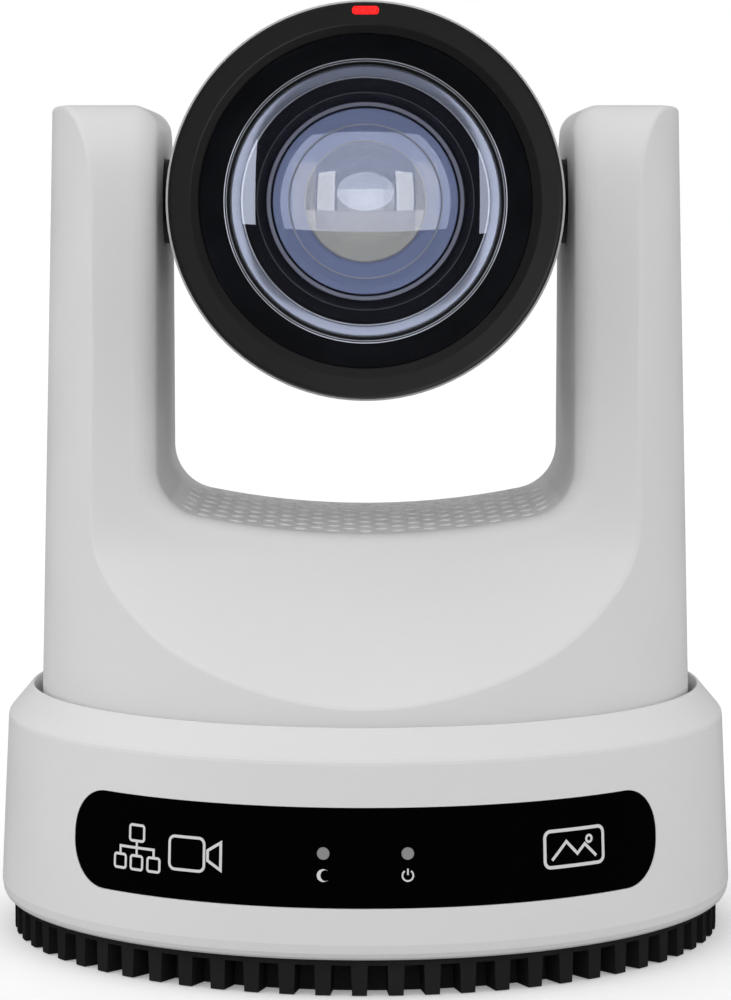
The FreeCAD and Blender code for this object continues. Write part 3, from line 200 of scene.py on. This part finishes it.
CAN = metal("motor_can", (0.50, 0.50, 0.52), (0.22, 0.36), (1, 1, 10), 900, 0.05)


def tally_material():
    m, nt, p = new_mat("tally_red_lit")
    v = coords(nt)
    n = noise(nt, v, 1500, 2, 0.5)
    nt.links.new(ramp(nt, n, [(0.3, (0.80, 0.004, 0.004)), (0.7, (0.9, 0.008, 0.007))]), p.inputs["Base Color"])
    nt.links.new(remap(nt, n, 0.22, 0.34), p.inputs["Roughness"])
    p.inputs["Emission Color"].default_value = (1.0, 0.008, 0.008, 1)
    p.inputs["Emission Strength"].default_value = 0.85
    return m


TALLY = tally_material()


def board_material():
    m, nt, p = new_mat("circuit_board")
    v = coords(nt, scale=(1, 1, 1))
    br = nt.nodes.new("ShaderNodeTexBrick")
    br.inputs["Scale"].default_value = 300
    br.inputs["Mortar Size"].default_value = 0.06
    br.inputs["Color1"].default_value = (0.006, 0.055, 0.022, 1)
    br.inputs["Color2"].default_value = (0.010, 0.080, 0.034, 1)
    br.inputs["Mortar"].default_value = (0.03, 0.15, 0.06, 1)
    nt.links.new(v, br.inputs["Vector"])
    nt.links.new(br.outputs["Color"], p.inputs["Base Color"])
    n = noise(nt, v, 500, 2, 0.5)
    nt.links.new(remap(nt, n, 0.25, 0.4), p.inputs["Roughness"])
    nt.links.new(bump(nt, br.outputs["Fac"], 0.3, 0.00005), p.inputs["Normal"])
    return m


BOARD = board_material()


def glass_material(name, tint, film, ior=1.52, rough=0.0, film_ior=1.38):
    m, nt, p = new_mat(name)
    v = coords(nt)
    n = noise(nt, v, 90, 2, 0.5)
    nt.links.new(ramp(nt, n, [(0.3, [c * 0.985 for c in tint]), (0.7, tint)]), p.inputs["Base Color"])
    p.inputs["Transmission Weight"].default_value = 1.0
    p.inputs["IOR"].default_value = ior
    p.inputs["Roughness"].default_value = rough
    p.inputs["Thin Film Thickness"].default_value = film
    p.inputs["Thin Film IOR"].default_value = film_ior
    return m


GLASS_FRONT = glass_material("front_glass_coated", (0.97, 0.975, 0.99), 180.0, 1.52)
SENSOR = plastic("sensor_glass", (0.02, 0.015, 0.04), 0.1, (0.03, 0.08), 600, 0.01, 1.0)

SLOT_MAT = {
    "white_shell": WHITE, "black_gloss": BLACK_GLOSS, "black_satin": BLACK_SATIN, "black_matte": BLACK_MATTE,
    "ribbed_base": FOOT_BLACK, "clear_pipe": PIPE, "tally_red": TALLY, "rubber": RUBBER, "brass": BRASS, "steel": STEEL,
    "steel_black": STEEL_BLACK, "cast_alloy": ALLOY, "motor_can": CAN, "board_green": BOARD, "socket_shell": NICKEL,
    "socket_black": SOCKET_BLACK, "gear_nylon": ACETAL, "glass": GLASS_FRONT, "sensor": SENSOR,
}
slot_of = {s["node"]: s["material_slot"] for s in frame["record"]["subparts"]}
for node, obj in frame["nodes"].items():
    m = SLOT_MAT[slot_of[node]]
    for sl in obj.material_slots:
        sl.material = m
    if not obj.material_slots:
        obj.data.materials.append(m)

# ------------------------------------------------------------ mesh helpers
def link(me, name, mat, body, smooth=True):
    o = bpy.data.objects.new(name, me)
    scene.collection.objects.link(o)
    me.materials.append(mat)
    if smooth:
        for p in me.polygons:
            p.use_smooth = True
    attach(o, body)
    return o


def lathe_y(name, profile, mat, body, seg=192, x=0.0, z=ZT, sharp=28, closed=True):
    """profile of (y, r) in mm turned about the optical axis"""
    bm = bmesh.new()
    rings = []
    for (y, r) in profile:
        if r < 1e-6:
            rings.append([bm.verts.new((x * MM, y * MM, z * MM))])
        else:
            rings.append([bm.verts.new(((x + r * math.cos(2 * math.pi * k / seg)) * MM, y * MM, (z + r * math.sin(2 * math.pi * k / seg)) * MM)) for k in range(seg)])
    n = len(rings)
    pairs = [(i, (i + 1) % n) for i in range(n if closed else n - 1)]
    for i, j in pairs:
        a, b = rings[i], rings[j]
        if len(a) == 1 and len(b) == 1:
            continue
        for k in range(seg):
            k2 = (k + 1) % seg
            if len(a) == 1:
                bm.faces.new((a[0], b[k], b[k2]))
            elif len(b) == 1:
                bm.faces.new((a[k], b[0], a[k2]))
            else:
                bm.faces.new((a[k], b[k], b[k2], a[k2]))
    bmesh.ops.recalc_face_normals(bm, faces=bm.faces)
    for e in bm.edges:
        if len(e.link_faces) == 2 and e.calc_face_angle(0) > math.radians(sharp):
            e.smooth = False
    me = bpy.data.meshes.new(name)
    bm.to_mesh(me)
    bm.free()
    return link(me, name, mat, body)


# --------------------------------------------------------------- lens front
def film(name, tint, alpha, rough=0.012, scale=120.0):
    """anti-reflection coating on a glass surface: tinted mirror of low weight, clear between"""
    m, nt, p = new_mat(name)
    v = coords(nt)
    n = noise(nt, v, scale, 2, 0.5)
    nt.links.new(ramp(nt, n, [(0.3, [c * 0.98 for c in tint]), (0.7, tint)]), p.inputs["Base Color"])
    nt.links.new(remap(nt, n, rough, rough * 1.6), p.inputs["Roughness"])
    p.inputs["Metallic"].default_value = 1.0
    p.inputs["Alpha"].default_value = alpha
    return m


def dome(y_edge, r_edge, R, n=40):
    """(y, r) points of a spherical surface bulging forward, from its apex to its edge"""
    sag = R - math.sqrt(R * R - r_edge * r_edge)
    return [(y_edge - sag + (R - math.sqrt(R * R - (r_edge * k / n) ** 2)), r_edge * k / n) for k in range(n + 1)]


CLEAR = film("clear_back_face", (0.90, 0.93, 1.0), 0.03)
FILM1 = film("front_coating", (0.86, 0.90, 1.0), 0.24)
FILM2 = film("second_coating", (0.86, 0.88, 0.92), 0.22)
FILM3 = film("third_coating", (0.95, 0.96, 1.0), 0.42)


def element(name, front, back, mat):
    """solid of revolution whose front face carries the coating"""
    o = lathe_y(name, front + back, mat, "head", 256, closed=False)
    o.data.materials.append(CLEAR)
    y_rim = front[-1][0] * MM
    r_rim = front[-1][1] * MM
    for poly in o.data.polygons:
        c = poly.center
        r = math.hypot(c.x, c.z - ZT * MM)
        k = min(range(len(front)), key=lambda q: abs(front[q][1] * MM - r))
        if c.y > front[k][0] * MM + 0.00012 or r > r_rim * 0.999:
            poly.material_index = 1
    return o


front_glass = element("front_element_glass", dome(-43.762, 24.75, 98.0, 56),
                      [(-43.62, 24.77), (-42.55, 22.45), (-41.3, 22.2), (-41.2, 21.6), (-41.2, 0.0)], FILM1)
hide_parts("front_element")

BEVEL = metal("ground_bevel", (0.62, 0.67, 0.84), (0.16, 0.24), None, 900, 0.01)
BEVEL.node_tree.nodes["Principled BSDF"].inputs["Metallic"].default_value = 0.72
BEAD = metal("polished_bead", (0.74, 0.77, 0.86), (0.14, 0.22), None, 900, 0.01)
BEAD.node_tree.nodes["Principled BSDF"].inputs["Metallic"].default_value = 0.5
lathe_y("front_element_bevel", [(-43.02, 24.62), (-42.95, 24.45), (-42.32, 23.1), (-42.22, 22.98), (-41.6, 22.98), (-41.6, 24.62)], BEVEL, "head", 256)
lathe_y("bevel_outer_bead", [(-43.1, 24.86), (-43.22, 24.83), (-43.26, 24.78), (-43.2, 24.71), (-43.05, 24.68), (-42.7, 24.68), (-42.7, 24.86)], BEAD, "head", 256)
lathe_y("bevel_inner_bead", [(-42.1, 22.95), (-42.36, 22.9), (-42.42, 22.8), (-42.36, 22.68), (-42.1, 22.6), (-41.5, 22.6), (-41.5, 22.95)], BEAD, "head", 256)
lathe_y("hood_lip_seat", [(-46.6, 26.02), (-46.62, 25.38), (-46.2, 25.32), (-45.7, 25.3), (-45.7, 26.02)], BLACK_SATIN, "head", 256)
lathe_y("hood_lip", [(-46.6, 26.02), (-46.86, 26.0), (-46.94, 25.92), (-46.88, 25.82), (-46.7, 25.78), (-46.55, 25.78)], BEAD, "head", 256)
lathe_y("hood_lip_inner", [(-46.55, 25.6), (-46.74, 25.57), (-46.78, 25.5), (-46.72, 25.43), (-46.55, 25.4)], BEAD, "head", 256)
EDGE = plastic("baffle_edge", (0.09, 0.092, 0.11), 0.03, (0.35, 0.45), 300, 0.01, 0.2)
edge_line = lathe_y("baffle_step", [(-38.85, 20.2), (-38.98, 20.15), (-39.0, 20.08), (-38.95, 20.0), (-38.8, 19.98), (-38.72, 20.05)], EDGE, "head", 192)

CELL = plastic("cell_rim", (0.30, 0.315, 0.42), 0.03, (0.35, 0.45), 300, 0.01, 0.2)
cell = lathe_y("second_cell_rim", [(-35.2, 18.42), (-35.3, 18.34), (-35.3, 17.8), (-35.2, 17.7), (-34.3, 17.68), (-34.3, 18.42)], CELL, "head", 192)
# flat diffuse disc behind the second element: its blue colour is painted reflection, standing in for the bluish sheen
# of the inner lens coatings
PAINTED_BLUE_FIELD = plastic("blue_field_painted_reflection", (0.36, 0.45, 0.80), 0.03, (0.3, 0.4), 300, 0.01, 0.2)
plate = lathe_y("inner_painted_reflection_disc", [(-33.4, 17.3), (-33.5, 17.15)] + [(-33.5, 17.15 * (1 - k / 12)) for k in range(1, 13)] + [(-33.0, 0.0), (-33.0, 17.3)], PAINTED_BLUE_FIELD, "head", 192, closed=False)
g2 = element("second_element_glass", dome(-34.0, 17.15, 60.0, 48), [(-33.75, 17.15), (-33.72, 0.0)], FILM2)
g3 = element("third_element_glass", dome(-34.0, 11.25, 34.0, 40), [(-33.9, 11.2), (-33.9, 0.0)], FILM3)
LINE = plastic("element_rim", (0.52, 0.54, 0.60), 0.03, (0.35, 0.45), 300, 0.01, 0.2)
line_a = lathe_y("second_element_rim", [(-35.05, 14.42), (-35.2, 14.38), (-35.2, 14.22), (-35.05, 14.18)], LINE, "head", 192)
line_b = lathe_y("third_element_rim", [(-34.0, 11.42), (-34.2, 11.38), (-34.2, 11.22), (-34.0, 11.18)], LINE, "head", 192)
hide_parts("second_element")

# ------------------------------------------------- plain marks on the window
PRINT = plastic("printed_mark", (0.74, 0.74, 0.74), 0.03, (0.40, 0.52), 2600, 0.10, 0.4)


def on_window(u, z, lift):
    """u along the window and z up, in mm, to a point on its conical face"""
    r = 72.02 - (z - 9.8) * (1.52 / 32.3) - 0.05 + lift
    a = u / 71.2
    return (r * math.sin(a) * MM, -r * math.cos(a) * MM, z * MM)


def mark(name, strokes):
    """thin printed bands, each between two rows of points"""
    bm = bmesh.new()
    for row_a, row_b, loop in strokes:
        n = len(row_a)
        top_a = [bm.verts.new(on_window(u, z, 0.03)) for u, z in row_a]
        top_b = [bm.verts.new(on_window(u, z, 0.03)) for u, z in row_b]
        low_a = [bm.verts.new(on_window(u, z, -0.02)) for u, z in row_a]
        low_b = [bm.verts.new(on_window(u, z, -0.02)) for u, z in row_b]
        for k in range(n if loop else n - 1):
            q = (k + 1) % n
            bm.faces.new((top_a[k], top_b[k], top_b[q], top_a[q]))
            bm.faces.new((low_a[k], low_a[q], low_b[q], low_b[k]))
            bm.faces.new((top_a[k], top_a[q], low_a[q], low_a[k]))
            bm.faces.new((top_b[k], low_b[k], low_b[q], top_b[q]))
        if not loop:
            for k in (0, n - 1):
                bm.faces.new((top_a[k], low_a[k], low_b[k], top_b[k]))
    bmesh.ops.recalc_face_normals(bm, faces=bm.faces)
    me = bpy.data.meshes.new(name)
    bm.to_mesh(me)
    bm.free()
    return link(me, name, PRINT, "base", smooth=False)


def line(pts, w, loop=False, step=0.5):
    """a line of width w through the points"""
    fine = []
    m = len(pts)
    for k in range(m if loop else m - 1):
        (u0, z0), (u1, z1) = pts[k], pts[(k + 1) % m]
        n = max(1, int(math.hypot(u1 - u0, z1 - z0) / step))
        fine += [(u0 + (u1 - u0) * q / n, z0 + (z1 - z0) * q / n) for q in range(n)]
    if not loop:
        fine.append(pts[-1])
    a, b = [], []
    n = len(fine)
    for k, (u, z) in enumerate(fine):
        pu, pz = fine[(k - 1) % n] if loop or k > 0 else fine[k]
        qu, qz = fine[(k + 1) % n] if loop or k < n - 1 else fine[k]
        d0 = Vector((u - pu, z - pz)) if (u, z) != (pu, pz) else Vector((qu - u, qz - z))
        d1 = Vector((qu - u, qz - z)) if (u, z) != (qu, qz) else d0
        d0.normalize()
        d1.normalize()
        t = (d0 + d1).normalized()
        nrm = Vector((-t.y, t.x)) * (w / 2 / max(0.5, t.dot(d1)))
        a.append((u + nrm.x, z + nrm.y))
        b.append((u - nrm.x, z - nrm.y))
    return (a, b, loop)


def arc(u, z, r, a0, a1, n=28):
    return [(u + r * math.cos(math.radians(a0 + (a1 - a0) * k / n)), z + r * math.sin(math.radians(a0 + (a1 - a0) * k / n))) for k in range(n + 1)]


def frame_line(u, z, w, h, r, t):
    """rounded rectangle"""
    pts = []
    for cu, cz, a in ((w / 2 - r, h / 2 - r, 0), (-w / 2 + r, h / 2 - r, 90), (-w / 2 + r, -h / 2 + r, 180), (w / 2 - r, -h / 2 + r, 270)):
        pts += arc(u + cu, z + cz, r, a, a + 90, 6)
    return line(pts, t, True, 0.4)


u0 = LED_U = 71.2 * math.radians(6.1)
ZI = 22.35
mark("mark_lamp_right", [line(arc(u0, ZI, 0.98, 125, 415, 30), 0.30, False, 9), line([(u0, ZI + 0.1), (u0, ZI + 1.25)], 0.30)])
outer = arc(-u0, ZI, 1.15, 50, 310, 30)
mark("mark_lamp_left", [(outer, [(-u0 + 0.42 + (p - (-u0)) * 0.80 * 0.98, ZI + (q - ZI) * 0.86) if 0 < k < 30 else (p + 0.02, q) for k, (p, q) in enumerate(outer)], False)])
ZL = 24.9
ua, ub = -44.6, -32.0
hub = [frame_line(ua, ZL + 2.7, 3.3, 2.9, 0.5, 0.48), line([(ua, ZL + 1.2), (ua, ZL - 1.25)], 0.48),
       line([(ua - 3.9, ZL - 1.35), (ua - 3.9, ZL), (ua + 3.9, ZL), (ua + 3.9, ZL - 1.35)], 0.48)]
hub += [frame_line(ua + d, ZL - 2.75, 2.7, 2.5, 0.45, 0.48) for d in (-3.9, 0.0, 3.9)]
mark("mark_link", hub)
mark("mark_view", [frame_line(ub - 1.6, ZL, 7.2, 6.0, 1.1, 0.52), line([(ub + 2.7, ZL + 0.9), (ub + 5.3, ZL + 2.5), (ub + 5.3, ZL - 2.5), (ub + 2.7, ZL - 0.9)], 0.52, True)])
uc, ZC = 40.2, 25.5
mark("mark_picture", [frame_line(uc, ZC, 13.0, 6.6, 1.2, 0.62), line([(uc - 5.0, ZC - 2.0), (uc - 1.9, ZC + 1.2), (uc + 0.5, ZC - 1.2), (uc + 2.2, ZC + 0.4), (uc + 4.8, ZC - 2.0)], 0.55),
                      line(arc(uc + 3.2, ZC + 1.25, 0.62, 0, 345, 23), 0.45, True, 9)])

# ------------------------------------------------------------------- stage
floor_me = bpy.data.meshes.new("floor")
bm = bmesh.new()
bmesh.ops.create_circle(bm, cap_ends=True, radius=12.0, segments=96)
bm.to_mesh(floor_me)
bm.free()
floor = bpy.data.objects.new("floor", floor_me)
scene.collection.objects.link(floor)
fm, fnt, fp = new_mat("floor_pale")
fv = coords(fnt)
fnn = noise(fnt, fv, 3.0, 3, 0.5)
fnt.links.new(ramp(fnt, fnn, [(0.3, (0.87, 0.87, 0.87)), (0.7, (0.88, 0.88, 0.88))]), fp.inputs["Base Color"])
fp.inputs["Roughness"].default_value = 0.9
fp.inputs["Specular IOR Level"].default_value = 0.0
fp.inputs["Emission Color"].default_value = (1, 1, 1, 1)
fp.inputs["Emission Strength"].default_value = 0.22
floor_me.materials.append(fm)
floor.visible_glossy = False
floor.visible_diffuse = False
# what the object sees of the floor is a little darker than the paper sweep the camera sees
bounce_me = floor_me.copy()
bounce_me.materials.clear()
bm_, bnt, bp = new_mat("floor_bounce")
bv = coords(bnt)
bn = noise(bnt, bv, 3.0, 3, 0.5)
bnt.links.new(ramp(bnt, bn, [(0.3, (0.53, 0.53, 0.53)), (0.7, (0.55, 0.55, 0.55))]), bp.inputs["Base Color"])
bp.inputs["Roughness"].default_value = 0.9
bp.inputs["Specular IOR Level"].default_value = 0.0
bounce_me.materials.append(bm_)
bounce = bpy.data.objects.new("floor_bounce", bounce_me)
scene.collection.objects.link(bounce)
bounce.location = (0, 0, -0.0005)
bounce.visible_camera = False
bounce.visible_glossy = False

world = bpy.data.worlds.new("studio")
scene.world = world
world.use_nodes = True
wn = world.node_tree
for n in list(wn.nodes):
    wn.nodes.remove(n)
wo = wn.nodes.new("ShaderNodeOutputWorld")
wlp = wn.nodes.new("ShaderNodeLightPath")
wtc = wn.nodes.new("ShaderNodeTexCoord")
wsp = wn.nodes.new("ShaderNodeSeparateXYZ")
wn.links.new(wtc.outputs["Generated"], wsp.inputs[0])


def sky(stops, strength):
    mr = wn.nodes.new("ShaderNodeMapRange")
    mr.inputs["From Min"].default_value = -1.0
    mr.inputs["From Max"].default_value = 1.0
    wn.links.new(wsp.outputs["Z"], mr.inputs["Value"])
    r = wn.nodes.new("ShaderNodeValToRGB")
    cr = r.color_ramp
    while len(cr.elements) < len(stops):
        cr.elements.new(0.5)
    for e, (pos, col) in zip(cr.elements, stops):
        e.position = (pos + 1) / 2
        e.color = (*col, 1)
    wn.links.new(mr.outputs["Result"], r.inputs["Fac"])
    b = wn.nodes.new("ShaderNodeBackground")
    wn.links.new(r.outputs["Color"], b.inputs["Color"])
    b.inputs["Strength"].default_value = strength
    return b.outputs[0]


def grey(v):
    return (v, v, v)


soft = sky([(-0.1, grey(1.2)), (0.1, grey(1.27)), (0.36, grey(1.12)), (0.70, grey(0.72)), (0.86, grey(0.34)), (1.0, grey(0.30))], 1.0)
gloss = sky([(-0.6, (0.03, 0.03, 0.035)), (-0.05, (0.02, 0.02, 0.026)), (0.45, (0.03, 0.03, 0.04)), (0.62, (0.14, 0.14, 0.15)), (1.0, (0.26, 0.26, 0.28))], 1.0)
clear = wn.nodes.new("ShaderNodeBackground")
clear.inputs["Color"].default_value = (1, 1, 1, 1)
wm1 = wn.nodes.new("ShaderNodeMixShader")
wm2 = wn.nodes.new("ShaderNodeMixShader")
wn.links.new(wlp.outputs["Is Glossy Ray"], wm1.inputs[0])
wn.links.new(soft, wm1.inputs[1])
wn.links.new(gloss, wm1.inputs[2])
wn.links.new(wlp.outputs["Is Camera Ray"], wm2.inputs[0])
wn.links.new(wm1.outputs[0], wm2.inputs[1])
wn.links.new(clear.outputs[0], wm2.inputs[2])
wn.links.new(wm2.outputs[0], wo.inputs[0])


def aim(o, target):
    o.rotation_mode = "QUATERNION"
    o.rotation_quaternion = (Vector(target) - Vector(o.location)).to_track_quat("-Z", "Y")


def sun(name, direction, strength, angle):
    d = bpy.data.lights.new(name, "SUN")
    d.energy = strength
    d.angle = math.radians(angle)
    o = bpy.data.objects.new(name, d)
    scene.collection.objects.link(o)
    o.location = Vector(direction) * 3
    aim(o, (0, 0, 0))
    o.visible_glossy = False
    o.visible_camera = False
    return o


LENS_C = Vector((0, -0.045, 0.1425))


def panel(name, az, el, dist, radiance, col=(1, 1, 1), only=None):
    """softbox seen from the lens between two azimuths and two elevations (degrees)"""
    az0, az1 = (math.tan(math.radians(a)) * dist for a in az)
    el0, el1 = (math.tan(math.radians(e)) * dist for e in el)
    d = bpy.data.lights.new(name, "AREA")
    d.shape = "RECTANGLE"
    d.size = az1 - az0
    d.size_y = el1 - el0
    d.energy = radiance * math.pi * d.size * d.size_y
    d.color = col
    o = bpy.data.objects.new(name, d)
    scene.collection.objects.link(o)
    o.location = (LENS_C.x + (az0 + az1) / 2, LENS_C.y - dist, LENS_C.z + (el0 + el1) / 2)
    o.rotation_euler = (math.radians(90), 0, 0)
    o.visible_camera = False
    o.visible_diffuse = False
    o.visible_transmission = True
    if only:
        c = bpy.data.collections.new(name + "_receivers")
        for q in only:
            c.objects.link(q)
        o.light_linking.receiver_collection = c
    return o


sun("top_light", (-0.36, -0.28, 0.88), 0.56, 80)
sun("left_light", (-0.93, -0.10, 0.32), 0.42, 90)
sun("right_light", (0.93, -0.10, 0.32), 0.42, 90)
ring_light = panel("ring_sheen", (2, 50), (-48, -4), 0.9, 2.6, only=[frame["nodes"]["front_ring"]])
ring_light.visible_diffuse = True
# softbox behind, so that the metal of the sockets has something to mirror
rear = bpy.data.lights.new("rear_softbox", "AREA")
rear.shape = "RECTANGLE"
rear.size, rear.size_y = 1.5, 0.9
rear.energy = 2.4 * math.pi * 1.5 * 0.9
rear_o = bpy.data.objects.new("rear_softbox", rear)
scene.collection.objects.link(rear_o)
rear_o.location = (0.15, 1.1, 0.35)
aim(rear_o, (0, 0.06, 0.03))
rear_o.visible_camera = False
rc = bpy.data.collections.new("rear_receivers")
for n_ in ("network_socket", "digital_video_socket", "video_coax_socket", "power_inlet", "audio_sockets", "control_sockets", "rear_panel"):
    rc.objects.link(frame["nodes"][n_])
rear_o.light_linking.receiver_collection = rc
grille = sun("grille_light", (0.0, -0.95, 0.32), 0.6, 25)
gc = bpy.data.collections.new("grille_receivers")
gc.objects.link(frame["nodes"]["saddle_grille"])
grille.light_linking.receiver_collection = gc

# softboxes that only the coated glass mirrors
WHITE_L = (1.0, 1.0, 1.0)
panel("box_left", (-31, -26.6), (-6, 18.6), 1.0, 2.0, (0.93, 0.97, 1.08), only=[front_glass])
panel("box_right", (27.6, 31.5), (-8.4, 17.3), 1.0, 1.55, (0.93, 0.97, 1.1), only=[front_glass])
# second surface: a wide pale room with brighter walls left and right
panel("room_sky", (-38, 38), (-11.8, 27.0), 0.8, 1.72, (0.93, 1.0, 1.22), only=[g2])
for sgn in (-1, 1):
    lo_, hi_ = sorted((sgn * 19.6, sgn * 28.6))
    panel("room_wall_%s" % ("l" if sgn < 0 else "r"), (lo_, hi_), (-11.8, 16), 0.78, 0.8, (1.12, 1.0, 0.6), only=[g2])
    lo_, hi_ = sorted((sgn * 20.6, sgn * 32.2))
    panel("window_%s" % ("l" if sgn < 0 else "r"), (lo_, hi_), (-6.5, 21), 1.0, 2.35, (1.0, 1.0, 0.93), only=[g3])
    lo_, hi_ = sorted((sgn * 11.5, sgn * 19.0))
    panel("window_corner_%s" % ("l" if sgn < 0 else "r"), (lo_, hi_), (-6.5, 8.3), 1.0, 0.7, (1.04, 1.02, 0.88), only=[g3])
# third surface: window band in the middle, rounded sky over it, floor under it
panel("window_band", (-19.0, 19.0), (-6.5, 8.3), 1.0, 1.15, (1.04, 1.02, 0.88), only=[g3])
dome_top = panel("dome_top", (-19, 19), (-6.2, 19.3), 0.98, 1.05, (0.9, 0.98, 1.12), only=[g3])
dome_top.data.shape = "ELLIPSE"
panel("sky_inner", (-46, 46), (18.5, 50), 0.6, 0.25, (0.75, 0.92, 1.4), only=[g3])
panel("ground_near", (-44, 44), (-20.8, -6.7), 0.8, 1.18, (1.04, 0.98, 0.87), only=[g3])
panel("ground_far", (-52, 52), (-52, -21), 0.5, 1.5, (1.06, 1.03, 0.8), only=[g3])
rim_objs = [scene.objects[n] for n in ("front_element_bevel", "bevel_outer_bead", "bevel_inner_bead", "hood_lip", "hood_lip_inner")]
fill = panel("lens_fill", (-25, 25), (-15, 30), 0.9, 1.62, only=[plate, cell, edge_line, line_a, line_b] + rim_objs)
fill.visible_diffuse = True
panel("rim_left", (-62, -22), (-38, 34), 0.7, 1.4, (0.92, 0.95, 1.0), only=rim_objs)
panel("rim_right", (22, 62), (-38, 34), 0.7, 1.3, (0.92, 0.95, 1.0), only=rim_objs)
panel("rim_top", (-40, 40), (24, 62), 0.7, 0.95, (0.90, 0.94, 1.0), only=rim_objs)
panel("rim_low", (-40, 40), (-62, -24), 0.7, 0.24, (0.80, 0.86, 1.0), only=rim_objs)
